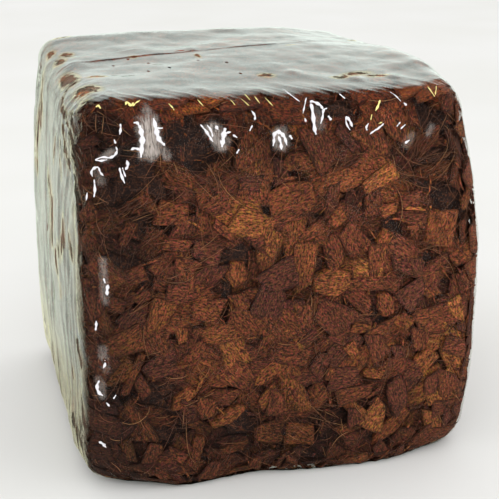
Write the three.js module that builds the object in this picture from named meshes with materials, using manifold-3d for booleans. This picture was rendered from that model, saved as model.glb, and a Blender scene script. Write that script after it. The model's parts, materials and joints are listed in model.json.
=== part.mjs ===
// A bale of coarse coconut husk chips, pressed into a block about 300 mm on a side and held
// tight in clear shrink film. It stands on its flattened underside.
// X runs to the right along the front face, Y runs away from the viewer and Z is up.
import * as THREE from "three";
import { ConvexGeometry } from "three/addons/geometries/ConvexGeometry.js";
import { mergeVertices } from "three/addons/utils/BufferGeometryUtils.js";
import Module from "manifold-3d";

const wasm = await Module();
wasm.setup();

// Driving dimensions of the bale, in millimetres
const width = 300;
const depth = 290;
const height = 300;
const edgeRadius = 19;
const restDepth = 7; // how far the soft underside is pressed flat
const lumps = [
  { length: 78, height: 2.2 }, // low swells of the pressed surface
  { length: 27, height: 1.7 }, // chips that press out through the film
];

// Film, in millimetres, with the depth below its outer surface of what lies under it
const filmThickness = 0.3;
const chipLevel = filmThickness + 0.5; // highest that any chip reaches
const matLevel = 7.5; // matted dust and fibre between the chips
const facetJitter = 5; // how far the film's creases wander off a regular grid

// The lapped seam, where the film's end overlaps its start, runs across the top
const lap = { front: 33, width: 24, rise: 0.5, slope: 1.2, skew: 0.15 };

// Pinholes in the top that let the air out as the film shrank
const ventRadius = 0.9;
const ventPlaces = [
  [-101, -5], [-86, 14], [-73, -4], [-80, -37], [-63, -34], [-35, -12], [-15, -24], [-15, -63],
];

// Chips in the matted block itself, in rows and columns on each face, and loose chips
const fusedGrid = { front: [5, 6], back: [4, 4], left: [4, 4], right: [4, 4], top: [4, 4], bottom: [2, 3] };
const fusedSize = { long: [46, 66], wide: [34, 46], thick: 12 };
const looseSize = { long: [24, 44], wide: [15, 30] };
const pocketGap = 0.35;

const half = new THREE.Vector3(width / 2, depth / 2, height / 2);
const middle = new THREE.Vector3(0, 0, height / 2);

// How far each face swells at its middle, each edge at its middle, and how each corner is drawn
const faceSwell = { left: 6, right: 9, front: 5, back: 5, bottom: 5, top: 3 };
const edgeSwell = [
  { at: [-1, 1, 0], by: 5 },
  { at: [0, 1, 1], by: 7 },
  { at: [1, 0, 1], by: 12 },
  { at: [1, -1, 0], by: 11 },
  { at: [0, -1, -1], by: 8 },
  { at: [-1, -1, 0], by: 2 },
];
const cornerShift = [
  { at: [-1, -1, -1], by: [-5, 7, 11] },
  { at: [1, -1, -1], by: [-9, -2, 3] },
  { at: [-1, 1, -1], by: [-2, 7, 15] },
  { at: [1, 1, -1], by: [-4, -3, 6] },
  { at: [-1, -1, 1], by: [-2, 2, 5] },
  { at: [1, -1, 1], by: [-15, 8, -3] },
  { at: [-1, 1, 1], by: [1, 1, 9] },
  { at: [1, 1, 1], by: [-17, 4, -4] },
];

// Single swells, and hollows with a negative height, along the edges
const bulges = [
  { at: [130, 60, 300], by: -7, reach: 28 },
  { at: [95, 140, 295], by: 7, reach: 30 },
  { at: [-155, 125, 278], by: -7, reach: 24 },
  { at: [-155, -106, 14], by: 8, reach: 26 },
  { at: [-136, -147, 2], by: -9, reach: 22 },
  { at: [-100, -146, 4], by: 13, reach: 28 },
  { at: [-30, -148, 0], by: -6, reach: 26 },
  { at: [37, -148, 0], by: 6, reach: 26 },
  { at: [91, -148, 0], by: 9, reach: 28 },
  { at: [134, -148, 4], by: -9, reach: 22 },
  { at: [150, -142, 40], by: 6, reach: 24 },
  { at: [152, -132, 204], by: 4, reach: 28 },
  { at: [142, -128, 285], by: -3, reach: 18 },
];

// A seeded stream of numbers from 0 to 1, the same on every run
function randomStream(seed) {
  let state = seed >>> 0;
  return () => {
    state = (state + 0x6d2b79f5) >>> 0;
    let t = Math.imul(state ^ (state >>> 15), 1 | state);
    t = (t + Math.imul(t ^ (t >>> 7), 61 | t)) ^ t;
    return ((t ^ (t >>> 14)) >>> 0) / 4294967296;
  };
}

const between = (random, [low, high]) => low + (high - low) * random();

// Smooth noise from -1 to 1, by blending a random value at each corner of a unit lattice
function cornerValue(i, j, k) {
  let h = Math.imul(i, 374761393) ^ Math.imul(j, 668265263) ^ Math.imul(k, 2147483647);
  h = Math.imul(h ^ (h >>> 13), 1274126177);
  return (((h ^ (h >>> 16)) >>> 0) / 4294967296) * 2 - 1;
}

function smoothNoise(p) {
  const cell = [Math.floor(p.x), Math.floor(p.y), Math.floor(p.z)];
  const t = [p.x - cell[0], p.y - cell[1], p.z - cell[2]].map((v) => v * v * (3 - 2 * v));
  let sum = 0;
  for (let corner = 0; corner < 8; corner++) {
    const step = [corner & 1, (corner >> 1) & 1, (corner >> 2) & 1];
    const weight = step.reduce((w, s, axis) => w * (s ? t[axis] : 1 - t[axis]), 1);
    sum += weight * cornerValue(cell[0] + step[0], cell[1] + step[1], cell[2] + step[2]);
  }
  return sum;
}

// A point of the sharp box taken to the rounded box, with the outward direction there
function roundedBox(sharp) {
  const inner = new THREE.Vector3(
    THREE.MathUtils.clamp(sharp.x, -half.x + edgeRadius, half.x - edgeRadius),
    THREE.MathUtils.clamp(sharp.y, -half.y + edgeRadius, half.y - edgeRadius),
    THREE.MathUtils.clamp(sharp.z, edgeRadius, height - edgeRadius),
  );
  const out = sharp.clone().sub(inner).normalize();
  return { point: inner.addScaledVector(out, edgeRadius), out };
}

// The pressed shape: faces and edges swell, corners are drawn in, and the surface has lumps
function pressed(point, out) {
  const s = point.clone().sub(middle).divide(half);
  const away = (axis) => 1 - s.getComponent(axis) ** 2;
  const near = (axis, side) => ((1 + side * s.getComponent(axis)) / 2) ** 2;
  const share = (at) => at.reduce((w, side, axis) => w * (side ? near(axis, side) : away(axis)), 1);
  const moved = point.clone();
  moved.x += away(1) * away(2) * (s.x < 0 ? -faceSwell.left : faceSwell.right) * s.x * s.x;
  moved.y += away(0) * away(2) * (s.y < 0 ? -faceSwell.front : faceSwell.back) * s.y * s.y;
  moved.z += away(0) * away(1) * (s.z < 0 ? -faceSwell.bottom : faceSwell.top) * s.z * s.z;
  for (const { at, by } of edgeSwell) {
    moved.addScaledVector(new THREE.Vector3(...at).normalize(), share(at) * by);
  }
  for (const { at, by } of cornerShift) moved.addScaledVector(new THREE.Vector3(...by), share(at));
  for (const { at, by, reach } of bulges) {
    const far = point.distanceTo(new THREE.Vector3(...at)) / reach;
    moved.addScaledVector(out, by * Math.exp(-far * far));
  }
  for (const lump of lumps) {
    const noise = smoothNoise(point.clone().divideScalar(lump.length).addScalar(lump.length));
    moved.addScaledVector(out, lump.height * noise);
  }
  return moved;
}

// The bale's surface at a depth below the outside of the film. rise lifts it again, for the lap.
function surfacePoint(sharp, level, rise = 0) {
  const { point, out } = roundedBox(sharp);
  const moved = pressed(point, out);
  moved.z = Math.max(moved.z - restDepth, 0);
  return moved.addScaledVector(out, rise - level);
}

// Grid lines along one axis: close together round the edges and even between them
function gridLines(low, high, cells, extra = []) {
  const inside = Array.from(
    { length: cells + 1 },
    (_, i) => low + edgeRadius + ((high - low - 2 * edgeRadius) * i) / cells,
  ).filter((v) => extra.every((e) => Math.abs(v - e) > 6));
  const round = [low, low + edgeRadius * 0.55, high - edgeRadius * 0.55, high];
  return [...inside, ...round, ...extra].sort((a, b) => a - b);
}

// Closed surface of triangles from a grid on the six faces of the sharp box
function boxSurface(lines, place) {
  const corners = [];
  const turns = [["x", "y", "z"], ["y", "z", "x"], ["z", "x", "y"]];
  for (const [facing, along, across] of turns) {
    for (const side of [0, 1]) {
      const at = (i, j) => {
        const sharp = new THREE.Vector3();
        sharp[facing] = side ? lines[facing].at(-1) : lines[facing][0];
        sharp[along] = lines[along][i];
        sharp[across] = lines[across][j];
        return place(sharp);
      };
      for (let i = 0; i < lines[along].length - 1; i++) {
        for (let j = 0; j < lines[across].length - 1; j++) {
          const quad = [at(i, j), at(i + 1, j), at(i + 1, j + 1), at(i, j + 1)];
          if (!side) quad.reverse();
          corners.push(quad[0], quad[1], quad[2], quad[0], quad[2], quad[3]);
        }
      }
    }
  }
  return new THREE.BufferGeometry().setFromPoints(corners);
}

// Closed geometry to a solid that can be joined and cut
function toSolid(geometry) {
  const bare = geometry.clone();
  bare.deleteAttribute("normal");
  bare.deleteAttribute("uv");
  const merged = mergeVertices(bare, 1e-3);
  const solid = new wasm.Manifold(
    new wasm.Mesh({
      numProp: 3,
      vertProperties: new Float32Array(merged.attributes.position.array),
      triVerts: new Uint32Array(merged.index.array),
    }),
  );
  return solid;
}

// The largest body of a solid, as geometry
function toGeometry(solid) {
  const bodies = solid.decompose().sort((a, b) => b.volume() - a.volume());
  const { vertProperties, triVerts } = bodies[0].getMesh();
  const geometry = new THREE.BufferGeometry();
  geometry.setAttribute("position", new THREE.BufferAttribute(new Float32Array(vertProperties), 3));
  geometry.setIndex(new THREE.BufferAttribute(new Uint32Array(triVerts), 1));
  geometry.computeVertexNormals();
  return geometry;
}

// Film: the wrap that holds the block, with a lapped seam along the top and pinholes
const lapBack = lap.front + lap.width;
const lapLines = [lap.front - lap.slope, lap.front, lapBack, lapBack + lap.slope];
const wrapLines = {
  x: gridLines(-half.x, half.x, 5),
  y: gridLines(-half.y, half.y, 4, lapLines),
  z: gridLines(0, height, 5),
};
const onLap = ({ y, z }) =>
  z === height && y > lap.front - lap.slope / 2 && y < lapBack + lap.slope / 2;

// Grid points wander a little along their face, and the lap's lines run askew
function creased(sharp) {
  const cell = [sharp.x, sharp.y, sharp.z].map(Math.round);
  const moved = sharp.clone();
  const wander = (axis, room, seed) => {
    const from = sharp.getComponent(axis);
    if (Math.abs(from - middle.getComponent(axis)) > room) return;
    moved.setComponent(axis, from + facetJitter * cornerValue(cell[0] + seed, cell[1], cell[2]));
  };
  wander(0, half.x - edgeRadius - 2, 11);
  if (!lapLines.includes(sharp.y)) wander(1, half.y - edgeRadius - 2, 23);
  wander(2, half.z - edgeRadius - 2, 37);
  moved.y += lap.skew * sharp.x * (1 - (sharp.y / half.y) ** 2);
  return moved;
}

const wrapSurface = (level, rise) =>
  toSolid(boxSurface(wrapLines, (sharp) => surfacePoint(creased(sharp), level, onLap(sharp) ? rise : 0)));

function makeVents() {
  const vents = ventPlaces.map(([x, y]) => {
    const on = surfacePoint(new THREE.Vector3(x, y, height), filmThickness / 2);
    const vent = new THREE.CylinderGeometry(ventRadius, ventRadius, 8, 6);
    return toSolid(vent.rotateX(Math.PI / 2).translate(on.x, on.y, on.z));
  });
  return wasm.Manifold.union(vents);
}

const makeFilm = () =>
  wrapSurface(0, lap.rise).subtract(wrapSurface(filmThickness, 0)).subtract(makeVents());

// One husk chip: a low slab with an irregular outline and sloping sides, lying in the XY plane.
// grow swells it on every side.
function chipShape({ long, wide, thick, seed }, grow = 0) {
  const random = randomStream(seed);
  const sides = 4 + Math.floor(random() * 2.3);
  const points = [];
  for (let i = 0; i < sides; i++) {
    const angle = ((i + 0.5 + between(random, [-0.2, 0.2])) / sides) * 2 * Math.PI;
    const boxy = 1 / Math.max(Math.abs(Math.cos(angle)), Math.abs(Math.sin(angle))) ** 0.7;
    const x = Math.cos(angle) * boxy * between(random, [0.86, 1]);
    const y = Math.sin(angle) * boxy * between(random, [0.86, 1]);
    const slope = between(random, [0.84, 0.97]);
    const worn = between(random, [0, 0.9]);
    const rim = (share, z) =>
      new THREE.Vector3(x * ((long / 2) * share + grow), y * ((wide / 2) * share + grow), z);
    points.push(rim(slope, thick / 2 - worn + grow), rim(1, -thick / 2 - grow));
  }
  return new ConvexGeometry(points);
}

// The six faces: a direction outwards, and the directions along and up the face
const faces = {
  front: { out: [0, -1, 0], along: [1, 0, 0], up: [0, 0, 1] },
  back: { out: [0, 1, 0], along: [-1, 0, 0], up: [0, 0, 1] },
  left: { out: [-1, 0, 0], along: [0, -1, 0], up: [0, 0, 1] },
  right: { out: [1, 0, 0], along: [0, 1, 0], up: [0, 0, 1] },
  top: { out: [0, 0, 1], along: [1, 0, 0], up: [0, 1, 0] },
  bottom: { out: [0, 0, -1], along: [-1, 0, 0], up: [0, 1, 0] },
};

// A chip laid against a face: along and up place its middle from the face's own middle, turn is
// in degrees, and below is how far its outer side lies under the film
function layChip(faceName, chip, grow = 0) {
  const face = faces[faceName];
  const [out, along, up] = [face.out, face.along, face.up].map((v) => new THREE.Vector3(...v));
  const at = (a, b) => {
    const sharp = middle.clone().addScaledVector(along, a).addScaledVector(up, b);
    return sharp.add(out.clone().multiply(half));
  };
  const level = chip.below + chip.thick / 2;
  const here = surfacePoint(at(chip.along, chip.up), level);
  const reach = 9;
  const right = surfacePoint(at(chip.along + reach, chip.up), level).sub(here).normalize();
  const above = surfacePoint(at(chip.along, chip.up + reach), level).sub(here).normalize();
  const normal = right.clone().cross(above).normalize();
  const frame = new THREE.Matrix4().makeBasis(right, normal.clone().cross(right), normal);
  frame.setPosition(here);
  const tip = new THREE.Euler(...chip.tip.map(THREE.MathUtils.degToRad), 0);
  const turn = new THREE.Matrix4().makeRotationZ(THREE.MathUtils.degToRad(chip.turn));
  frame.multiply(new THREE.Matrix4().makeRotationFromEuler(tip)).multiply(turn);
  return toSolid(chipShape(chip, grow).applyMatrix4(frame));
}

// Half the length and half the height of a face, less a margin
function faceRoom(faceName, margin) {
  const { along, up } = faces[faceName];
  const span = (v) => Math.abs(new THREE.Vector3(...v).dot(half)) - margin;
  return [span(along), span(up)];
}

// The chips that show best on the front. along and up are from the middle of the face.
const frontChips = [
  { along: 28, up: 13, long: 36, wide: 27, turn: 8 },
  { along: 71, up: 42, long: 22, wide: 14, turn: 60 },
  { along: 42, up: 88, long: 30, wide: 22, turn: 4 },
  { along: 117, up: 46, long: 38, wide: 32, turn: 80 },
  { along: 0, up: 76, long: 42, wide: 34, turn: 12 },
  { along: -88, up: 70, long: 33, wide: 26, turn: -5 },
  { along: -42, up: 24, long: 24, wide: 20, turn: 78 },
  { along: -20, up: -54, long: 34, wide: 15, turn: 38 },
  { along: -82, up: -72, long: 30, wide: 13, turn: 50 },
  { along: -48, up: -88, long: 38, wide: 13, turn: 33 },
  { along: -117, up: -48, long: 46, wide: 11, turn: 68 },
  { along: -72, up: -118, long: 34, wide: 16, turn: 80 },
  { along: 8, up: -108, long: 32, wide: 24, turn: -10 },
  { along: 106, up: -60, long: 26, wide: 20, turn: 40 },
  { along: 62, up: -64, long: 22, wide: 12, turn: -25 },
  { along: 82, up: -112, long: 50, wide: 16, turn: 42 },
  { along: 70, up: -8, long: 24, wide: 17, turn: -70 },
  { along: -114, up: 26, long: 26, wide: 20, turn: 15 },
];
const looseChipsElsewhere = { left: 6, right: 6, back: 7, top: 8 };

// Chips in pockets of their own, each with its face and its number
function listLooseChips() {
  const random = randomStream(41);
  const finish = (chip, index) => ({
    ...chip,
    thick: between(random, [5.5, 7.5]),
    below: chipLevel + between(random, [0.1, 0.7]),
    tip: [between(random, [-2, 2]), between(random, [-2, 2])],
    seed: 900 + index,
  });
  const chips = frontChips.map((chip, index) => ({ face: "front", ...finish(chip, index) }));
  for (const [face, wanted] of Object.entries(looseChipsElsewhere)) {
    const [roomAlong, roomUp] = faceRoom(face, 34);
    const placed = [];
    while (placed.length < wanted) {
      const chip = {
        along: between(random, [-roomAlong, roomAlong]),
        up: between(random, [-roomUp, roomUp]),
        long: between(random, looseSize.long),
        wide: between(random, looseSize.wide),
        turn: between(random, [0, 180]),
      };
      const clear = (other) => Math.hypot(other.along - chip.along, other.up - chip.up) > 52;
      if (placed.every(clear)) placed.push({ face, ...finish(chip, chips.length + placed.length) });
    }
    chips.push(...placed);
  }
  return chips;
}

// The matted block: dust and fibre with chips pressed into it, and a pocket for each loose chip
function makeBlock(looseChips, limit) {
  const random = randomStream(7);
  const matLines = {
    x: gridLines(-half.x, half.x, 2),
    y: gridLines(-half.y, half.y, 2),
    z: gridLines(0, height, 2),
  };
  const mat = toSolid(boxSurface(matLines, (sharp) => surfacePoint(sharp, matLevel)));
  const fused = [];
  for (const [face, [columns, rows]] of Object.entries(fusedGrid)) {
    const [roomAlong, roomUp] = faceRoom(face, 10);
    for (let i = 0; i < columns * rows; i++) {
      const along = ((i % columns) + between(random, [0.3, 0.7])) / columns;
      const up = (Math.floor(i / columns) + between(random, [0.3, 0.7])) / rows;
      const chip = {
        along: roomAlong * (2 * along - 1),
        up: roomUp * (2 * up - 1),
        long: between(random, fusedSize.long),
        wide: between(random, fusedSize.wide),
        thick: fusedSize.thick,
        below: chipLevel + between(random, [0.2, 4]),
        turn: between(random, [0, 180]),
        tip: [between(random, [-4, 4]), between(random, [-4, 4])],
        seed: 100 + fused.length,
      };
      fused.push(layChip(face, chip));
    }
  }
  const pockets = looseChips.map((chip) => layChip(chip.face, chip, pocketGap));
  const joined = wasm.Manifold.union([mat, ...fused]).intersect(limit);
  return joined.subtract(wasm.Manifold.union(pockets));
}

const colours = { block: 0x3b2114, chip: 0x8a4f24, film: 0xcfd4cc };
const material = (color, roughness, more = {}) =>
  new THREE.MeshStandardMaterial({ color, roughness, metalness: 0, flatShading: true, ...more });

const bale = new THREE.Group();
const limit = wrapSurface(chipLevel, 0);
const looseChips = listLooseChips();

function addPiece(name, solid, look) {
  const mesh = new THREE.Mesh(toGeometry(solid), look);
  mesh.name = name;
  bale.add(mesh);
}

addPiece("shrink_film", makeFilm(), material(colours.film, 0.15, { transparent: true, opacity: 0.3 }));
addPiece("husk_block", makeBlock(looseChips, limit), material(colours.block, 0.95));

const laid = [];
for (const [index, chip] of looseChips.entries()) {
  const number = String(index + 1).padStart(2, "0");
  let solid = layChip(chip.face, chip).intersect(limit);
  for (const earlier of laid) solid = solid.subtract(earlier);
  laid.push(layChip(chip.face, chip, pocketGap));
  addPiece(`husk_chip_${number}`, solid, material(colours.chip, 0.9));
}

// The origin is at the middle of the underside
const box = new THREE.Box3().setFromObject(bale);
const centre = box.getCenter(new THREE.Vector3());
bale.position.set(-centre.x, -centre.y, -box.min.z);

export default bale;
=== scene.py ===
import itertools
import math
from contextlib import contextmanager

import bmesh
import bpy
import numpy as np
from mathutils import Matrix, Vector, noise
from mathutils.bvhtree import BVHTree
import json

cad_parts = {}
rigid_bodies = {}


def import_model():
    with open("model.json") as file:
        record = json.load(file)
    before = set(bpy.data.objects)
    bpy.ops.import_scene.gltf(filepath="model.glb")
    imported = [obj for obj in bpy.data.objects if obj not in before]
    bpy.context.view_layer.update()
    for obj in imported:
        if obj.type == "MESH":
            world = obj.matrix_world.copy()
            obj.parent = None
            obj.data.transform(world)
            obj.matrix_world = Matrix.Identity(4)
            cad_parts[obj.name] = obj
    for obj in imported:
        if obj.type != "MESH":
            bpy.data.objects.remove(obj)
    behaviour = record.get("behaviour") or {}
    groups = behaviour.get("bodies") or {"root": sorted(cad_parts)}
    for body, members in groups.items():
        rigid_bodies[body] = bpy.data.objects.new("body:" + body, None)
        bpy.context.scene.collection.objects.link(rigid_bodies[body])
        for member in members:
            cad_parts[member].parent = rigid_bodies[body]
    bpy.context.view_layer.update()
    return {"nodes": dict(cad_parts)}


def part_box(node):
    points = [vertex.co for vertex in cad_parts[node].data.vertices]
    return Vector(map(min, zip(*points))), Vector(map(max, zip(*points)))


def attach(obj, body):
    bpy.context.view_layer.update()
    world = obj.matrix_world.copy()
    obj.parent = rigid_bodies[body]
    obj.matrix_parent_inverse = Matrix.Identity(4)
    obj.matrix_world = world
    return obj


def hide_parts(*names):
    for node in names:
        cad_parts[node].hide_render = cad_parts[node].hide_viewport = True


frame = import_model()

# Sizes, in metres
MM = 0.001
EDGE_ROUND = 42 * MM  # rounding of the box that the film is wrapped from
# Meshes wrapped over the bale, in millimetres: along each axis a band at its low end and the
# spacing in it, the spacing in the middle, and the same for the high end
FILM_PLAN = [((42, 1.6), 1.75, (30, 2.5)), ((45, 1.6), 3.2, (30, 3.5)), ((30, 3.5), 3.5, (62, 1.6))]
FILM_SPACING = 1.9 * MM
INNER_PLAN = [((40, 5), 8, (40, 5))] * 3
INNER_SPACING = 6.5 * MM
SMOOTHING_REACH = 9 * MM  # over which the CAD film's flat facets are rounded off
OUTSIDE = 60 * MM  # how far out the rays start that find the CAD film
BASE_MARGIN = 38 * MM  # inside which the underside is one flat face
NOISE_SHIFT = (7.31, 3.17, 5.53)  # how far apart the noise of one seed lies from the next

# The lapped seam across the top, where the film's end covers its start
LAP_FRONT = 33 * MM
LAP_WIDTH = 24 * MM
LAP_SKEW = 0.15
LAP_RISE = 0.35 * MM
# The step at either edge of the lap starts this far outside the edge and ends this far inside it
LAP_OUTSIDE = 0.8 * MM
LAP_INSIDE = 0.3 * MM

# Pinholes in the top of the film, x and y
VENT_RADIUS = 1.1 * MM
VENT_STRETCH = (1, 0.4, 0)  # they are drawn out along y
VENTS = [
    (-102.5, -4.2), (-87.5, 14.8), (-74.5, -3.2), (-81.5, -36.2), (-64.5, -33.2), (-36.5, -11.2),
    (-16.5, -23.2), (-16.5, -62.2),
]

# Lumps of the film and of the mat: rise and size in millimetres, and a seed
FILM_LUMPS = [(0.9, 24, 1), (0.3, 9, 2)]
MAT_LUMPS = [(1.8, 8, 11), (1.2, 16, 12)]
PUCKER_RIM = 0.12  # how softly a pucker starts, and the height of its gathers, for a reach of 1
PUCKER_GATHERS = 0.16
# Puckers, where the film is drawn into a hollow between chips: x and z on the front, reach and depth
PUCKERS = [
    (-104, 271, 14, 3.0), (-55, 270, 13, 3.0), (-11, 264, 12, 2.4), (19, 277, 13, 2.4), (43, 271, 8, 1.8),
    (62, 267, 9, 1.8), (87, 256, 9, 1.8), (112, 247, 10, 2.0), (-80, 254, 10, 2.0), (-136, 259, 9, 2.0),
    (-142, 246, 8, 2.0), (-122, 249, 7, 1.8), (-138, 166, 8, 2.0), (-144, 140, 7, 1.8),
    (-141, 109, 7, 1.8), (-144, 88, 9, 2.2), (-144, 42, 8, 2.0),
]
# Tight folds that stand up from the puckers, coloured near white as painted glints: width, then places x and
# z
WHITE_GLINT_FOLDS = [
    (3.4, (-110, 281), (-109, 277), (-108, 271), (-109, 266), (-110, 259)),
    (3.0, (-100, 285), (-99, 279), (-98, 274), (-97, 270), (-93, 266)), (1.2, (-99, 278), (-94, 278)),
    (1.6, (-114, 283), (-111, 283), (-110, 279)), (1.6, (-117, 265), (-114, 266), (-110, 264)),
    (1.5, (-123, 283), (-123, 279), (-124, 276)), (1.2, (-128, 273), (-127, 270)),
    (1.5, (-127, 268), (-126, 265), (-128, 262), (-131, 260), (-136, 261), (-141, 259)),
    (1.2, (-141, 259), (-137, 258), (-133, 259)),
    (1.5, (-143, 247), (-144, 251), (-141, 254), (-139, 254)),
    (1.2, (-139, 254), (-138, 250), (-136, 248)), (1.5, (-142, 245), (-142, 238), (-143, 233)),
    (1.8, (-120, 258), (-119, 254), (-121, 251)), (1.6, (-125, 253), (-124, 248), (-122, 242)),
    (1.0, (-123, 253), (-121, 246)), (1.0, (-148, 230), (-147, 236)),
    (1.6, (-68, 279), (-64, 274), (-61, 269), (-59, 266)), (1.4, (-63, 278), (-60, 274), (-59, 269)),
    (1.8, (-57, 277), (-55, 274)), (3.2, (-50, 275), (-51, 271), (-52, 266), (-53, 262)),
    (1.2, (-51, 271), (-46, 272)), (1.2, (-45, 270), (-42, 268)), (1.2, (-41, 260), (-43, 257)),
    (1.4, (-30, 285), (-28, 282), (-29, 279)), (1.0, (-31, 276), (-33, 272)),
    (2.6, (-16, 260), (-15, 264), (-15, 269), (-12, 270), (-9, 268), (-7, 265), (-6, 260)),
    (2.0, (-12, 267), (-10, 262), (-10, 257)), (1.6, (-4, 267), (-2, 264)),
    (2.6, (15, 288), (15, 284), (15, 276), (15, 269), (16, 266)),
    (2.0, (15, 288), (18, 287), (22, 285), (23, 282)), (1.5, (26, 283), (23, 282), (22, 277), (20, 273)),
    (1.2, (8, 278), (9, 275)), (1.0, (13, 290), (9, 285), (7, 281)), (1.8, (26, 278), (28, 275)),
    (1.8, (39, 277), (42, 274), (44, 269)), (1.2, (39, 277), (39, 272), (42, 267)),
    (1.4, (56, 271), (54, 268), (55, 266)), (1.4, (57, 263), (61, 265), (66, 268), (68, 270)),
    (0.9, (77, 290), (80, 288), (83, 284)), (1.4, (85, 283), (87, 281)), (1.6, (85, 254), (89, 256)),
    (1.0, (38, 291), (41, 288)), (0.9, (0, 294), (2, 292), (7, 288)), (1.0, (81, 265), (85, 268)),
    (1.0, (78, 267), (81, 270)), (2.2, (-136, 169), (-137, 165), (-137, 161)),
    (1.2, (-139, 174), (-138, 170)), (1.6, (-145, 141), (-145, 138), (-146, 134)),
    (1.6, (-141, 112), (-140, 109), (-142, 105)), (2.2, (-145, 95), (-147, 90), (-146, 85), (-143, 83)),
    (1.3, (-141, 78), (-139, 75)), (2.0, (-147, 44), (-144, 42), (-142, 39)),
    (1.0, (-134, 84), (-136, 81)),
]
# Those near the top, coloured yellow as painted glints
YELLOW_GLINT_FOLDS = [
    (1.5, (-138, 294), (-136, 295), (-135, 293)),
    (1.8, (-118, 294), (-116, 296), (-114, 293), (-112, 295)),
    (1.0, (-113, 293), (-110, 295), (-107, 296)), (0.8, (-88, 293), (-86, 291), (-85, 289)),
    (0.7, (-67, 294), (-64, 290)), (0.7, (-31, 294), (-29, 291)), (0.6, (-35, 292), (-31, 288)),
    (0.7, (-25, 293), (-23, 289)), (0.6, (-43, 292), (-41, 289)), (0.6, (-18, 292), (-14, 287)),
    (1.4, (67, 286), (65, 283), (62, 279)), (0.8, (59, 277), (58, 273)), (0.7, (64, 270), (67, 271)),
    (0.9, (109, 291), (111, 285)), (0.8, (116, 291), (112, 286)),
]
# The section of a tight fold, across it and up from the film, for a width of 1, how much narrower
# it gets towards its ends, and how wide it is between them on average and more or less
FOLD_SECTION = ((-0.6, -0.1), (-0.4, 0.16), (0.0, 0.24), (0.4, 0.16), (0.6, -0.1))
FOLD_TAPER = 0.85
FOLD_WIDTH = (0.95, 0.35)
# Where the film is bunched and cloudy, its milky colour partly painted glare: how far it reaches and how
# cloudy, then places x and z
CLOUDY_GLARE = [
    (9, 0.85, (-104, 281), (-103, 271), (-104, 264)), (4, 0.4, (-98, 266), (-93, 261), (-92, 258)),
    (4, 0.4, (-104, 290), (-103, 285), (-101, 280)), (7, 0.55, (-60, 275), (-56, 271), (-53, 265)),
    (7, 0.5, (-11, 268), (-10, 262)), (5, 0.2, (18, 281), (19, 272)),
    (4, 0.3, (-139, 186), (-139, 173), (-139, 158)), (4, 0.3, (-142, 120), (-141, 106)),
    (4, 0.3, (-145, 95), (-144, 84)), (4, 0.35, (-136, 260), (-129, 264)),
    (4, 0.2, (-141, 250), (-138, 244)), (3, 0.25, (103, 260), (106, 265)), (4, 0.2, (86, 253), (90, 259)),
]
# Knobs on the top, where a chip end lifts the film: x, y, reach and rise
TOP_KNOBS = [
    (-130, 13, 9, 1.8), (113, 47, 7, 1.2), (21, -68, 7, 1.5), (62, -97, 7, 1.6), (93, -98, 6, 1.4),
    (99, -130, 9, 1.8), (-31, 36, 6, 1.2), (-60, -110, 6, 1.0), (-20, -120, 8, 1.2), (130, -60, 8, 1.4),
]
# Folds over an edge: rise, wavelength, lean and reach. An edge is named by the axis along it and
# the sides, 0 low and 1 high, of the two axes that follow
EDGE_FOLDS = {
    (0, 0, 1): (1.5, 8.5, 0.9, 24),  # front and top
    (2, 0, 0): (1.5, 9.5, 1.5, 26),  # left side and front
    (1, 1, 0): (0.9, 9.5, 0.5, 22),  # top and left side
    (2, 1, 0): (0.9, 9.0, -0.6, 20),  # right side and front
    (1, 1, 1): (0.8, 9.5, -0.5, 22),  # top and right side
}
USUAL_EDGE_FOLDS = (0.7, 11.0, 0.4, 20)
NEAR_EDGE = 15 * MM  # how close to an edge its folds lie
# Folds on the left side: wavelength of the broad, the narrow and the slanting ones, and how high the
# upright and the slanting ones rise in millimetres
SIDE_FOLDS = (27 * MM, 11.5 * MM, 12 * MM)
UPRIGHT_RISE = 0.8
SLANTING_RISE = 1.1
# Folds on the top: wavelength and rise
TOP_FOLDS = (15 * MM, 0.8 * MM)
SIDE_CREASES = 0.12  # how strongly the creases show all over the left side
# Spots on the top where the film lies wet on a chip: x, y and reach in both
DULL_SPOTS = [
    (1, -73, 9, 10), (-32, 8, 3, 11), (-82, 20, 5, 7), (-130, 57, 8, 12), (123, 70, 5, 6),
    (-125, 122, 10, 7), (70, -80, 16, 9), (54, -89, 11, 8), (82, -92, 12, 7), (53, 30, 6, 3),
    (-122, -47, 10, 6), (-141, -30, 10, 30), (-138, 39, 7, 14), (-141, 79, 6, 12), (-136, -92, 13, 20),
]
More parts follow.
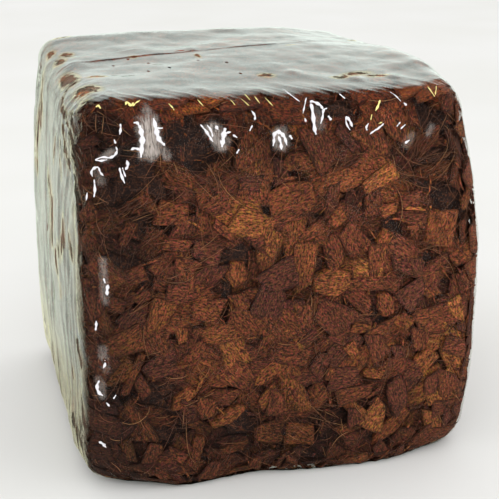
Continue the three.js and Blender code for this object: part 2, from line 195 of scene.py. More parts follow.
# Streaks on the left side: reach, how much wetter than round them, and places, each a distance
# back along the side, which below -110 bends round into the front, and a height
LEFT_STREAKS = [
    (5, 0.9, (-74, 281), (-104, 280)), (9, 1.0, (-89, 274), (-96, 267), (-99, 257), (-114, 248)),
    (5, 0.7, (-71, 254), (-70, 239), (-71, 228)), (5, 0.9, (-124, 287), (-132, 281), (-139, 277)),
    (5, 0.9, (-128, 275), (-138, 268), (-145, 263), (-150, 261)),
    (5, 0.9, (-110, 277), (-125, 268), (-136, 259), (-144, 255)),
    (16, 0.8, (52, 272), (58, 247), (85, 220), (94, 197)), (3, 0.8, (-80, 300), (-70, 289), (-71, 280)),
    (4, 0.6, (-40, 250), (-34, 230)), (12, 0.8, (-1, 208), (-18, 193), (-15, 164)),
    (11, 1.0, (-78, 194), (-79, 186), (-70, 175)), (8, 0.9, (-106, 192), (-108, 183), (-114, 182)),
    (10, 1.0, (-40, 157), (-43, 146)), (5, 0.8, (-56, 138), (-59, 132)), (8, 0.8, (-52, 169), (-61, 165)),
    (5, 0.8, (-132, 242), (-137, 229), (-138, 219)), (5, 0.7, (-140, 203), (-137, 184), (-142, 174)),
    (6, 0.8, (-115, 115), (-122, 110), (-127, 103)), (7, 0.5, (-91, 79), (-107, 66), (-115, 53)),
    (7, 0.5, (-71, 53), (-88, 40), (-115, 36)), (5, 0.6, (-115, 82), (-125, 69), (-131, 55)),
    (3, -0.9, (-119, 289), (-131, 289), (-139, 284), (-143, 278)),
    (2.5, -1.0, (-124, 281), (-138, 273), (-146, 265), (-150, 263)),
    (3, -0.9, (-81, 276), (-117, 272), (-131, 263), (-145, 259)),
    (3, -0.7, (-122, 251), (-128, 234), (-137, 218), (-137, 201), (-132, 197)),
    (3, -0.9, (-147, 206), (-143, 193), (-138, 182)), (5, -0.6, (-120, 123), (-135, 121), (-141, 108)),
    (4, -0.5, (-118, 85), (-130, 80), (-138, 75)),
]
LEFT_WETNESS = (0.22, 0.75)  # the least there, and how much wetter it gets
WET_STREAK = (5 * MM, 50 * MM)  # width and length of the smaller wet streaks there
STREAK_DRIFT = 5 * MM
# Fine creases beside the folds: their height, and for edges along x, y and z how often they come
# per metre across the three axes
CREASE_RISE = 0.5 * MM
RIPPLE_SHARE = 0.12  # height of the ripples beside theirs
CREASE_STRETCH = [
    ((260, 180, 180), (0, 22, -22), (0, 9, 9)),
    ((120, 240, 60), (22, 0, -22), (9, 0, 9)),
    ((300, -300, 190), (22, 22, 0), (0, 0, 15)),
]

# The film's finish. Its underside is dulled by dust, so head on it mirrors less than a clean sheet
# would, and at a grazing angle a little more
FILM_IOR = 1.52
FILM_ROUGHNESS = 0.05
DULLED_GLOSS = 0.06
GRAZING_GLOSS = 1.12
CLEAR_FILM = (0.97, 0.97, 0.95, 1)
# The cloudy film's milky white, which also stands for painted glare where the film is bunched
MILKY_GLARE = (0.52, 0.46, 0.42, 1)
FILM_RIPPLES = 130.0  # per metre
CLOUD_STRANDS = (800, 200, 130)  # the gathers in the cloudy places, per metre
CLOUD_SHARES = [(0.36, 0.35), (0.58, 1)]
# How much of the gloss is lost on the right side and the back
FAR_SIDE_DULLING = 0.75
# How far round from the front it stays dull: towards the left, and up at the left and the right
DULL_TO_LEFT = 0.46
DULL_UP_LEFT = 0.24
DULL_UP_RIGHT = 0.12
# The colour of its gloss by how much it clings to damp husk, and where and how fast it soaks through
FILM_TINGE = [(0.1, (0.85, 0.92, 0.87)), (0.22, (0.80, 0.855, 0.76)), (0.75, (1.0, 0.99, 0.74))]
SOAK_EDGE = (-0.36, 0.81)
SOAKING = 16.0
MOST_SOAKED = 0.85
# Colours of the tight folds: painted white and yellow glints
WHITE_GLINT_COLOUR = (0.84, 0.82, 0.87)
YELLOW_GLINT_COLOUR = (0.95, 0.82, 0.30)

# Layers of chips, slivers and crumbs, from the deepest to those against the film. "clear" is how far
# they keep from the separate chips, "pit" how far from the pits, and "gap" how far from the film
LAYERS = {
    "chips_deep": dict(
        form="chip", spacing=16, depth=(6.5, 9), length=(24, 38), tilt=8, clear=0.5, pit=1, gap=3.0, seed=3
    ),
    "chips_middle": dict(
        form="chip", spacing=14, depth=(3.4, 5.6), length=(18, 36), tilt=10, clear=4, pit=6, gap=1.2, seed=14
    ),
    "chips_upper": dict(
        form="chip", spacing=17, depth=(1.2, 3.0), length=(12, 34), tilt=6, clear=9, pit=10, gap=0.6, seed=25
    ),
    "slivers": dict(
        form="sliver", spacing=9, depth=(0.8, 3.4), length=(6, 19), tilt=14, clear=2, pit=3, gap=0.5, seed=36
    ),
    "crumbs": dict(
        form="crumb", spacing=9, depth=(0.6, 1.6), length=(2.5, 7), tilt=25, clear=0, pit=1, gap=0.4, seed=47
    ),
}
MOST_CHIPS = 12000.0  # per square metre
THINNEST = 0.008  # how a form is scaled in thickness, plus this share of the chip's length
THICKENING = 0.6
# Dark pits between the chips of the front, x and z, and how deep they go below the dust and fibre
PITS = [
    (-112, 239), (-56, 250), (-46, 260), (-65, 248), (-67, 265), (-84, 268), (-73, 284), (-128, 247),
    (-120, 265), (-133, 285), (-100, 260), (-135, 236), (-123, 221), (-121, 190), (-98, 208), (100, 279),
    (110, 270), (121, 248), (127, 228), (114, 221), (109, 205), (135, 197), (87, 236), (-104, 271),
    (-55, 270), (-11, 264), (19, 277), (32, 282), (-137, 85), (-126, 77), (-106, 75), (-125, 35),
    (-93, 50), (-56, 50), (-65, 39), (-31, 45), (-9, 24), (-1, 38), (12, 39), (32, 35), (17, 16),
]
PIT_DEPTH = 8 * MM
PIT_REACH = 9 * MM
PITS_TOGETHER = 1.5  # the most that pits which meet go down, in depths of one
CHIP_SHARE = 0.28  # share of a chip's length that it keeps farther from the pits
# Tones of the separate chips of the front, 0 dark and 1 pale
FRONT_TONES = (
    0.93, 0.9, 0.8, 0.7, 0.62, 0.55, 0.8, 0.93, 0.88,
    0.94, 0.8, 0.72, 0.9, 0.92, 0.85, 0.82, 0.68, 0.5,
)
FILM_GAP = 0.35 * MM  # between the film and whatever lies under it
MAT_DEPTH = 8.5 * MM  # dust and short fibre behind the chips
LOOSE_CHIP_MESH = 1.6 * MM  # size of the faces of a separate chip
# Its fibrous ridges, its lumps and its torn ends: rise and size
CHIP_RIDGES = (0.45 * MM, 2.2 * MM)
CHIP_LUMPS = (0.3 * MM, 7 * MM)
TORN_ENDS = (1.2 * MM, 1.8 * MM)
CHIP_INSET = 0.25 * MM  # how much smaller it is made all round, to leave room for them

# Husk. Its tones run from dark to pale, and its hue strays to both sides of them
HUSK_TONES = [
    (0.0, (0.130, 0.038, 0.020)), (0.4, (0.182, 0.050, 0.020)), (0.75, (0.218, 0.063, 0.021)),
    (0.92, (0.270, 0.083, 0.025)), (1.0, (0.38, 0.132, 0.037)),
]
HUSK_TINTS = [(0.38, (1.18, 0.76, 1.4)), (0.62, (0.84, 1.25, 0.64))]
# How often its markings come per metre: streaks along and across its fibres, then the others
HUSK_STREAKS = (110, 1100, 1100)
HUSK_CRUMBS = 800.0
HUSK_PATCHES = 110.0
HUSK_HUES = 620.0
TONE_SHIFT = (3.1, 5.7, 2.3)  # moves the markings of one chip away from those of the next
# Share of its colour by each marking: stops for the grooves, else slope and start
GROOVE_SHADES = [(0.34, 0.5), (0.60, 1)]
PATCH_SHADE = (0.9, 0.55)
CRUMB_SHADE = (7.128, -2.574)
# The face attribute darkens chip rims and undersides: partly dark cut edges, partly painted shade between
# the chips
FACE_AND_RIM_SHADE = (0.45, 0.55)
DARKEST_HUSK = 0.12
CRUMB_RELIEF = 0.7
HUSK_RELIEF = 0.5 * MM
# Share of its colour by height: painted shade, darkest near the ground and under the top edge, and a little
# darker in a band lower down
PAINTED_HEIGHT_SHADE = [
    (0.03, 0.55), (0.085, 0.8), (0.115, 0.72), (0.145, 0.82), (0.232, 0.95), (0.252, 0.6),
    (0.285, 0.56), (0.30, 1.0),
]
# Painted shade and light by distance to the right of a line at the left of the front: darker at the left, a
# little lighter far to the right. The distance
# back from the front is added to it this many times over
SHADE_LINE = (-0.2, -0.12)  # x and y
BACKWARD = 2.0
PAINTED_SIDE_SHADE = [
    (0.065, 0.42), (0.115, 0.92), (0.14, 0.92), (0.17, 0.8), (0.2, 0.8), (0.235, 0.92), (0.275, 1.08),
]
# Painted shade by depth under the film, in centimetres: the deeper, the darker
PAINTED_DEPTH_SHADE = [(0.10, 1.0), (0.28, 0.86), (0.5, 0.55), (0.9, 0.28)]
# Redder by height, where the light comes in at the top edge
TOP_REDDENING = [(0.262, (1, 1, 1)), (0.285, (1.22, 0.92, 0.62))]
# Dust and short fibre, and coir fibre, from dark to pale, and how often their markings come per metre
MAT_STRANDS = 420.0
MAT_RELIEF = 1.5 * MM
FIBRE_MOTTLE = 600.0
MOTTLE_SHADE = (0.8, 0.6)
# The mat's tones are partly painted shade: its darkest stops are near black
MAT_TONES_AND_SHADE = [(0.32, (0.006, 0.003, 0.003)), (0.52, (0.025, 0.009, 0.006)), (0.7, (0.14, 0.045, 0.017))]
FIBRE_TONES = [
    (0.0, (0.06, 0.018, 0.008)), (0.5, (0.105, 0.031, 0.011)), (0.85, (0.20, 0.066, 0.020)),
    (1.0, (0.42, 0.21, 0.08)),
]

# Loose fibres: long strands, and fine short ones
FIBRES = {
    "fibres": dict(count=1700, points=8, length=(12, 44), curl=0.10, radius=(0.11, 0.24), seed=77),
    "fine_fibres": dict(count=5200, points=4, length=(6, 17), curl=0.05, radius=(0.10, 0.22), seed=88),
}
FIBRE_DEPTH = (0.4 * MM, 2.2 * MM)
SUNK_ENDS = 2.2 * MM  # how much deeper their ends lie
THINNER_ENDS = 0.6  # and how much thinner they are there
# Bundles of fibre on the front: x, z, the way they run in degrees, and how many
FIBRE_BUNDLES = [
    (100, 258, 60, 18), (118, 240, 20, 18), (94, 221, -30, 10), (39, 244, 35, 9), (64, 178, 5, 9),
    (-107, 227, 25, 12), (-57, 234, -50, 9), (-119, 159, 40, 13), (-90, 156, -30, 10), (-72, 184, 15, 9),
    (10, 121, 55, 8), (112, 181, 8, 10), (-60, 100, 45, 12), (20, 50, -25, 12), (80, 90, 65, 12),
]
BUNDLE_SPREAD = 6 * MM
BUNDLE_START = 14 * MM  # how far back from its middle a bundle starts
BUNDLE_CURL = 0.06
BUNDLE_FRAY = 0.16  # how much the ways of its fibres differ

FLOOR_REACH = 6
FLOOR_DARKER = (0.79, 0.79, 0.77)
FLOOR_PALER = (0.82, 0.82, 0.81)
# Lamps aimed at the middle of the bale: place, size and power
LAMPS = {
    "key": ((-0.45, -1.35, 1.15), (1.1, 0.8), 5),
    "front_right": ((0.8, -1.6, 0.55), (1.8, 1.3), 6),
    "left": ((-1.5, 0, 0.6), (1.4, 1), 4),
}
MIDDLE = Vector((0, 0, 0.15))
WORLD_GLOW = [(0.2, (0.84, 0.84, 0.83)), (0.9, (1.0, 1.0, 0.99))]  # from the front to behind
WORLD_RIGHT = [(0.26, 0), (0.42, 1)]  # where the light from the right starts, by x
RIGHT_BRIGHTER = 0.2
WORLD_STRENGTH = 1.12

# The camera that the photo was taken with
CAMERA_PLACE = Vector((-0.2600, -0.9236, 0.4677))
CAMERA_YAW = math.radians(16.20)
CAMERA_PITCH = math.radians(19.18)
CAMERA_ROLL = math.radians(-0.15)
CAMERA_LENS = 86.6
CAMERA_SENSOR = 36


def span(node):
    """Lowest and highest corners of a CAD node, as arrays"""
    low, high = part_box(node)
    return np.array(low), np.array(high)


def smooth_step(low, high, value):
    """0 at low, 1 at high, and a soft curve between"""
    t = np.clip((value - low) / (high - low), 0, 1)
    return t * t * (3 - 2 * t)


def fade(start, end, place):
    """A soft step with its ends in millimetres"""
    return smooth_step(start * MM, end * MM, place)


def bell(distance):
    """1 at the middle, and next to nothing from a distance of 2 on"""
    return np.exp(-(distance**2))


def waves(place, length, drift, sharpness):
    """Folds side by side, from 0 to 1, narrower the sharper they are"""
    return (0.5 + 0.5 * np.cos(2 * math.pi * place / length + drift)) ** sharpness


def noise_at(points, size, seed):
    """Smooth noise from -1 to 1, with features about as large as size"""
    shift = Vector([seed * way for way in NOISE_SHIFT])
    return np.array([noise.noise(Vector(p) + shift) for p in np.asarray(points) / size])


def patches(points, size, seed, middle, swing, low=0, high=1):
    """Noise about a middle value, held between low and high. Its size is in millimetres"""
    return np.clip(middle + swing * noise_at(points, size * MM, seed), low, high)


def lumps_at(points, lumps):
    return sum(rise * MM * noise_at(points, size * MM, seed) for rise, size, seed in lumps)


def new_mesh(name, points, faces, edges=()):
    mesh = bpy.data.meshes.new(name)
    mesh.from_pydata(points, edges, faces)
    return mesh


def new_object(name, data):
    """A piece, a lamp or the camera, in the scene"""
    made = bpy.data.objects.new(name, data)
    bpy.context.scene.collection.objects.link(made)
    return made


def made_plain(piece):
    """The piece with its modifiers worked into a plain mesh"""
    depsgraph = bpy.context.evaluated_depsgraph_get()
    mesh = bpy.data.meshes.new_from_object(piece.evaluated_get(depsgraph), depsgraph=depsgraph)
    piece.modifiers.clear()
    piece.data = mesh
    return piece


@contextmanager
def edited(mesh):
    """The mesh as a bmesh, put back at the end"""
    solid = bmesh.new()
    solid.from_mesh(mesh)
    yield solid
    solid.to_mesh(mesh)
    solid.free()


def vectors_of(items, field):
    flat = np.empty(len(items) * 3, np.float32)
    items.foreach_get(field, flat)
    return flat.reshape(-1, 3).astype(float)


def positions(mesh):
    return vectors_of(mesh.vertices, "co")


def vertex_normals(mesh):
    return vectors_of(mesh.vertex_normals, "vector")


def set_positions(mesh, points):
    mesh.vertices.foreach_set("co", np.asarray(points, np.float32).ravel())
    mesh.update()


def store(mesh, name, values):
    """A named number or vector on each point of a mesh"""
    values = np.asarray(values, np.float32)
    kind, field = ("FLOAT", "value") if values.ndim == 1 else ("FLOAT_VECTOR", "vector")
    mesh.attributes.new(name, kind, "POINT").data.foreach_set(field, values.ravel())


def tree_of(mesh):
    corners = [v.co for v in mesh.vertices]
    return BVHTree.FromPolygons(corners, [tuple(p.vertices) for p in mesh.polygons])


def on_front(film_tree, x, z):
    """The place on the film's front in line with x and z, and the way that it faces there"""
    place, normal, _, _ = film_tree.ray_cast(Vector((x, -1, z)), Vector((0, 1, 0)))
    return place, normal


def far_from_line(x, z, places):
    """How far points lie from a line through places, all seen flat on"""
    nearest = np.full(len(x), np.inf)
    for start, end in zip(np.array(places[:-1]) * MM, np.array(places[1:]) * MM):
        run = end - start
        share = np.clip(((x - start[0]) * run[0] + (z - start[1]) * run[1]) / (run @ run), 0, 1)
        far = np.hypot(x - start[0] - share * run[0], z - start[1] - share * run[1])
        nearest = np.minimum(nearest, far)
    return nearest


class Nodes:
    """A node tree being built, for a material or for geometry"""

    def __init__(self, tree):
        self.tree = tree

    def add(self, kind, **values):
        """A node with its settings and its inputs, each given by name in plain words"""
        node = self.tree.nodes.new(kind)
        for name, value in values.items():
            if hasattr(node, name) and not isinstance(value, bpy.types.NodeSocket):
                setattr(node, name, value)
            else:
                self.put(self.socket(node, name), value)
        return node

    def socket(self, node, name):
        plain = name.replace("_", " ").lower()
        found = [s for s in node.inputs if s.name.lower() == plain and s.enabled]
        if not found:
            raise ValueError(f"{node.bl_idname} has no input {plain}")
        return found[0]

    def put(self, socket, value):
        if isinstance(value, bpy.types.NodeSocket):
            self.tree.links.new(value, socket)
        else:
            socket.default_value = value

    def filled(self, kind, values, operation=None):
        """A node whose inputs are given in their own order"""
        node = self.tree.nodes.new(kind)
        if operation:
            node.operation = operation
        for socket, value in zip(node.inputs, values):
            self.put(socket, value)
        return node

    def math(self, operation, *values):
        return self.filled("ShaderNodeMath", values, operation).outputs[0]

    def times(self, product, *values):
        """The product of any number of values"""
        for value in values:
            product = self.math("MULTIPLY", product, value)
        return product

    def line(self, value, slope, start):
        """start + slope x value"""
        return self.math("MULTIPLY_ADD", value, slope, start)

    def vector(self, operation, *values):
        node = self.filled("ShaderNodeVectorMath", values, operation)
        return node.outputs["Value" if operation in ("DOT_PRODUCT", "DISTANCE") else 0]

    def scaled(self, vector, factor):
        node = self.filled("ShaderNodeVectorMath", (vector,), "SCALE")
        self.put(node.inputs["Scale"], factor)
        return node.outputs[0]

    def joined(self, x, y, z):
        return self.add("ShaderNodeCombineXYZ", X=x, Y=y, Z=z).outputs[0]

    def parted(self, vector):
        return self.add("ShaderNodeSeparateXYZ", Vector=vector).outputs

    def mixed(self, share, first, second):
        """Two shaders mixed, with share of the second"""
        return self.filled("ShaderNodeMixShader", (share, first, second)).outputs[0]

    def stored(self, name, output="Fac"):
        """What the mesh carries under a name: Fac for a number, Vector for a vector"""
        return self.add("ShaderNodeAttribute", attribute_name=name).outputs[output]

    def place(self):
        return self.add("ShaderNodeTexCoord").outputs["Object"]

    def noise(self, place, scale=1.0, detail=3.0, **values):
        texture = self.add("ShaderNodeTexNoise", Vector=place, Scale=scale, Detail=detail, **values)
        return texture.outputs["Fac"]

    def bump(self, height, deep):
        return self.add("ShaderNodeBump", Height=height, Strength=1.0, Distance=deep).outputs["Normal"]

    def surface(self, **values):
        return self.add("ShaderNodeBsdfPrincipled", **values).outputs[0]

    def ramp(self, factor, stops, interpolation="LINEAR"):
        """Colours along a factor, or greys where a stop gives one number"""
        node = self.tree.nodes.new("ShaderNodeValToRGB")
        node.color_ramp.interpolation = interpolation
        elements = node.color_ramp.elements
        while len(elements) < len(stops):
            elements.new(0.5)
        for element, (place, colour) in zip(elements, stops):
            element.position = place
            element.color = (*colour, 1) if isinstance(colour, tuple) else (colour, colour, colour, 1)
        self.put(node.inputs[0], factor)
        return node.outputs[0]


# Materials


def new_material(name):
    material = bpy.data.materials.new(name)
    material.use_nodes = True
    material.node_tree.nodes.clear()
    return material, Nodes(material.node_tree)


def finished(material, nodes, shader):
    """The material with a shader for its surface"""
    nodes.add("ShaderNodeOutputMaterial", Surface=shader)
    return material


def husk_shade(nodes):
    """Shares of the husk's colour that are painted shade: by height near the ground and under the top edge,
    at the left edge and deep down, and how much redder it is at the top edge, which is painted light"""
    x, y, z = nodes.parted(nodes.place())
    # damp: painted shade by height, not wet husk
    damp = nodes.ramp(z, PAINTED_HEIGHT_SHADE, "EASE")
    to_right, back = (nodes.math("SUBTRACT", *pair) for pair in zip((x, y), SHADE_LINE))
    from_left = nodes.line(nodes.math("MAXIMUM", back, 0.0), BACKWARD, to_right)
    # shaded: painted shade, darker at the left of the front
    shaded = nodes.ramp(from_left, PAINTED_SIDE_SHADE, "EASE")
    centimetres = nodes.math("MULTIPLY", nodes.stored("depth"), 100.0)
    depth_shade = nodes.ramp(centimetres, PAINTED_DEPTH_SHADE)
    return (damp, shaded, depth_shade), nodes.ramp(z, TOP_REDDENING)


def husk_material():
    """Husk: reddish brown, streaked along its fibres, each chip with a tone of its own"""
    material, nodes = new_material("husk")
    tone = nodes.stored("tone")
    shift = nodes.scaled(TONE_SHIFT, tone)
    place = nodes.vector("ADD", nodes.scaled(nodes.stored("grain", "Vector"), nodes.stored("size")), shift)
    streaks = nodes.noise(nodes.vector("MULTIPLY", place, HUSK_STREAKS), Roughness=0.65)
    grooves = nodes.ramp(streaks, GROOVE_SHADES)
    drawn_out = nodes.vector("MULTIPLY", place, (0.5, 1, 1))
    crumb = nodes.noise(drawn_out, HUSK_CRUMBS, 2.0, Roughness=0.8)
    patch = nodes.noise(place, HUSK_PATCHES)
    hue = nodes.noise(place, HUSK_HUES, 2.0, Roughness=0.7)
    shade = nodes.times(grooves, nodes.line(patch, *PATCH_SHADE), nodes.line(crumb, *CRUMB_SHADE))
    shade = nodes.math("MAXIMUM", shade, DARKEST_HUSK)
    # Painted shade by height, at the left of the front and by depth, and painted light at the top edge
    shares, reddened = husk_shade(nodes)
    shade = nodes.times(shade, *shares, nodes.line(nodes.stored("face"), *FACE_AND_RIM_SHADE))
    tinted = nodes.vector("MULTIPLY", nodes.ramp(tone, HUSK_TONES), nodes.ramp(hue, HUSK_TINTS))
    tinted = nodes.vector("MULTIPLY", tinted, reddened)
    shader = nodes.surface(
        Base_Color=nodes.scaled(tinted, shade),
        Roughness=0.85,
        Specular_IOR_Level=0.25,
        Normal=nodes.bump(nodes.line(crumb, CRUMB_RELIEF, grooves), HUSK_RELIEF),
    )
    return finished(material, nodes, shader)


def fibre_material():
    """Coir fibre: tan to orange strands, a little glossier than the husk"""
    material, nodes = new_material("coir_fibre")
    colour = nodes.ramp(nodes.stored("tone"), FIBRE_TONES)
    mottle = nodes.noise(nodes.place(), FIBRE_MOTTLE, 2.0)
    shaded = nodes.scaled(colour, nodes.line(mottle, *MOTTLE_SHADE))
    return finished(material, nodes, nodes.surface(Base_Color=shaded, Roughness=0.6))


def mat_material():
    """Dust and short fibre between the chips, coloured nearly black as painted shade where no light gets in
    """
    material, nodes = new_material("coir_mat")
    strands = nodes.noise(nodes.place(), MAT_STRANDS, 5.0, Distortion=1.5)
    colour = nodes.ramp(strands, MAT_TONES_AND_SHADE)
    shader = nodes.surface(Base_Color=colour, Roughness=0.95, Normal=nodes.bump(strands, MAT_RELIEF))
    return finished(material, nodes, shader)


def film_relief(nodes, place):
    """The film's fine ripples, and the creases beside its folds, as a bump"""
    height = nodes.math("MULTIPLY", nodes.noise(place, FILM_RIPPLES, Roughness=0.6), RIPPLE_SHARE)
    shares = nodes.parted(nodes.stored("creases", "Vector"))
    for share, stretch in zip(shares, CREASE_STRETCH):
        along = nodes.joined(*(nodes.vector("DOT_PRODUCT", place, row) for row in stretch))
        height = nodes.line(nodes.noise(along, detail=2.0, Roughness=0.5), share, height)
    return nodes.bump(height, CREASE_RISE)


def film_mirror(nodes, normal):
    """Share of the light that the film mirrors: both its sides do, and it bounces between them"""
    one_side = nodes.add("ShaderNodeFresnel", IOR=FILM_IOR, Normal=normal).outputs[0]
    doubled = nodes.math("MULTIPLY", one_side, 2.0)
    mirror = nodes.math("DIVIDE", doubled, nodes.math("ADD", one_side, 1.0))
    return nodes.times(nodes.math("SUBTRACT", mirror, DULLED_GLOSS), GRAZING_GLOSS, nodes.stored("sheen"))


def film_unsoaked(nodes, wetness):
    """Share of the gloss that is left, less in the wet streaks, where the husk shows through"""
    streak = nodes.stored("streak", "Vector")
    wet = nodes.noise(streak, detail=4.0, Roughness=0.6, Distortion=0.3)
    soaked = nodes.math("SUBTRACT", wet, nodes.line(wetness, *SOAK_EDGE))
    soaked = nodes.math("MAXIMUM", nodes.math("MULTIPLY", soaked, SOAKING), 0.0)
    return nodes.math("SUBTRACT", 1.0, nodes.math("MINIMUM", soaked, MOST_SOAKED))


def film_material():
    """Clear shrink film: hardly seen head on, a pale mirror at a grazing angle"""
    material, nodes = new_material("shrink_film")
    place = nodes.place()
    normal = film_relief(nodes, place)
    wetness = nodes.stored("wetness")
    mirror = nodes.times(film_mirror(nodes, normal), film_unsoaked(nodes, wetness))
    flat = nodes.vector("MULTIPLY", place, VENT_STRETCH)
    for x, y in VENTS:
        middle = (x * MM * VENT_STRETCH[0], y * MM * VENT_STRETCH[1], 0)
        far = nodes.vector("DISTANCE", flat, middle)
        mirror = nodes.times(mirror, nodes.math("GREATER_THAN", far, VENT_RADIUS))
    gloss = nodes.add("ShaderNodeBsdfAnisotropic", Roughness=FILM_ROUGHNESS, Normal=normal)
    nodes.put(gloss.inputs["Color"], nodes.ramp(wetness, FILM_TINGE))
    clear = nodes.add("ShaderNodeBsdfTransparent")
    clear.inputs["Color"].default_value = CLEAR_FILM
    glazed = nodes.mixed(mirror, clear.outputs[0], gloss.outputs[0])
    strands = nodes.noise(nodes.vector("MULTIPLY", place, CLOUD_STRANDS), Distortion=0.6)
    # The milky mix is partly painted glare where the film is bunched
    cloud = nodes.times(nodes.stored("cloud"), nodes.ramp(strands, CLOUD_SHARES))
    milky = nodes.add("ShaderNodeBsdfDiffuse", Color=MILKY_GLARE)
    return finished(material, nodes, nodes.mixed(cloud, glazed, milky.outputs[0]))


def glint_material(name, colour):
    """Film gathered into a tight fold, coloured near white or yellow as a painted glint"""
    material, nodes = new_material(name)
    return finished(material, nodes, nodes.surface(Base_Color=(*colour, 1), Roughness=0.2))


def floor_material():
    """Matt and pale, with the faint unevenness of a painted floor"""
    material, nodes = new_material("pale_floor")
    colour = nodes.ramp(nodes.noise(nodes.place(), 3.0, 2.0), [(0.3, FLOOR_DARKER), (0.7, FLOOR_PALER)])
    shader = nodes.add("ShaderNodeBsdfDiffuse", Color=colour)
    return finished(material, nodes, shader.outputs[0])


HUSK = husk_material()
FIBRE = fibre_material()
MAT = mat_material()
FILM = film_material()
WHITE_GLINT = glint_material("white_fold", WHITE_GLINT_COLOUR)
YELLOW_GLINT = glint_material("yellow_fold", YELLOW_GLINT_COLOUR)

# Film


def axis_lines(low, high, plan, extra=()):
    """Grid lines along one axis, with a spacing of their own in a band at either end"""
    (first_band, first_step), step, (last_band, last_step) = plan
    turns = [low, low + first_band * MM, high - last_band * MM, high]
    lines = []
    for start, end, spacing in zip(turns, turns[1:], (first_step, step, last_step)):
        count = round((end - start) / (spacing * MM))
        lines += list(np.linspace(start, end, count, endpoint=False))
    lines.append(high)
    kept = [line for line in lines if all(abs(line - e) > 0.4 * step * MM for e in extra)]
    return np.sort(np.concatenate([kept, extra]))


def box_grid(lines):
    """Corners and quads of a grid on the six faces of a box, sharing the points of its edges"""
    corners, quads, count = [], [], 0
    for facing in range(3):
        along, across = (facing + 1) % 3, (facing + 2) % 3
        for side in (0, -1):
            a, b = np.meshgrid(lines[along], lines[across], indexing="ij")
            block = np.empty(a.shape + (3,))
            block[..., facing] = lines[facing][side]
            block[..., along] = a
            block[..., across] = b
            index = count + np.arange(a.size).reshape(a.shape)
            count += a.size
            ring = [index[:-1, :-1], index[1:, :-1], index[1:, 1:], index[:-1, 1:]]
            if side == 0:
                ring.reverse()
            quads.append(np.stack(ring, -1).reshape(-1, 4))
            corners.append(block.reshape(-1, 3))
    merged, where = np.unique(np.concatenate(corners).round(7), axis=0, return_inverse=True)
    return merged, where.ravel()[np.concatenate(quads)]


def skewed(inner, sharp, low, high):
    """Grid points moved so that the lines beside the seam run askew as the seam does"""
    moved = inner.copy()
    y_middle = (low[1] + high[1]) / 2
    share = ((sharp[:, 1] - y_middle) / ((high[1] - low[1]) / 2)) ** 2
    moved[:, 1] += LAP_SKEW * sharp[:, 0] * (1 - share)
    return moved


def smoothed(values, quads, rounds):
    """Values averaged with those of their neighbours across the quads"""
    ring = np.roll(quads, -1, axis=1)
    ends = np.concatenate([quads.ravel(), ring.ravel()])
    others = np.concatenate([ring.ravel(), quads.ravel()])
    count = np.bincount(ends, minlength=len(values))
    for _ in range(rounds):
        values = 0.5 * values + 0.5 * np.bincount(ends, values[others], len(values)) / count
    return values


def wrap(plan, spacing, beside_lap=()):
    """Points and quads of a smooth surface over the CAD film, found by rays cast at it from all
    round, and the place of each point on the sharp box that the grid was laid out on"""
    low, high = span("shrink_film")
    tree = tree_of(frame["nodes"]["shrink_film"].data)
    extras = [(), beside_lap, ()]
    lines = [axis_lines(low[a], high[a], plan[a], extras[a]) for a in range(3)]
    sharp, quads = box_grid(lines)
    inner = np.clip(sharp, low + EDGE_ROUND, high - EDGE_ROUND)
    out = sharp - inner
    out /= np.linalg.norm(out, axis=1, keepdims=True)
    inner = skewed(inner, sharp, low, high)
    far_off = EDGE_ROUND + OUTSIDE
    heights = np.full(len(sharp), EDGE_ROUND)
    for index, (start, way) in enumerate(zip(inner + out * far_off, out)):
        far = tree.ray_cast(Vector(start), Vector(-way))[3]
        if far is not None and far < far_off:
            heights[index] = far_off - far
    rounds = round(2 * (SMOOTHING_REACH / spacing) ** 2)
    heights = smoothed(heights, quads, rounds)
    points = inner + out * heights[:, None]
    points[:, 2] = np.maximum(points[:, 2], 0)
    return points, quads, sharp


def without_base(points, quads, sharp):
    """The same surface with a hole in its underside, for one flat face to fill"""
    low, high = sharp.min(0), sharp.max(0)
    under = (sharp[:, 2] < low[2] + 0.1 * MM) & (np.abs(points[:, 2]) < 0.5 * MM)
    for axis in (0, 1):
        under &= (sharp[:, axis] > low[axis] + BASE_MARGIN) & (sharp[:, axis] < high[axis] - BASE_MARGIN)
    quads = quads[~under[quads].any(1)]
    used, where = np.unique(quads, return_inverse=True)
    return points[used], where.reshape(-1, 4), sharp[used]


def fill_base(mesh):
    with edited(mesh) as solid:
        bmesh.ops.contextual_create(solid, geom=[e for e in solid.edges if e.is_boundary])
        bmesh.ops.recalc_face_normals(solid, faces=solid.faces)


def folds_along(s, t, points, length, lean, reach, seed):
    """Fine folds that cross an edge of the bale, s along the edge and t across it"""
    warp = 1.3 * noise_at(points, 30 * MM, seed) + 0.5 * noise_at(points, 11 * MM, seed + 1)
    patchy = patches(points, 26, seed + 2, 0.55, 0.9)
    shorter = reach * (0.75 + 0.5 * patchy)
    return waves(s + lean * t, length, 2.6 * warp, 2) * patchy * bell(t / shorter)


def edge_folds(points, low, high):
    """Folds over all twelve edges, strongest where the front meets the top and the left side, and
    how strongly the fine creases along each axis show beside them"""
    total = np.zeros(len(points))
    creases = np.zeros((len(points), 3))
    for number, (along, side_a, side_b) in enumerate(itertools.product(range(3), (0, 1), (0, 1))):
        a, b = (along + 1) % 3, (along + 2) % 3
        rise, length, lean, reach = EDGE_FOLDS.get((along, side_a, side_b), USUAL_EDGE_FOLDS)
        from_a = np.abs(points[:, a] - (low, high)[side_a][a])
        from_b = np.abs(points[:, b] - (low, high)[side_b][b])
        near = bell(np.minimum(from_a, from_b) / NEAR_EDGE)
        t = from_a - from_b
        chosen = (near > 0.02) & (np.abs(t) < 3 * reach * MM)
        rest = points[chosen]
        fold = folds_along(rest[:, along], t[chosen], rest, length * MM, lean, reach * MM, 30 + 3 * number)
        total[chosen] += rise * MM * near[chosen] * fold
        share = near * rise * bell(t / (reach * MM))
        creases[:, along] = np.maximum(creases[:, along], share)
    return total, creases


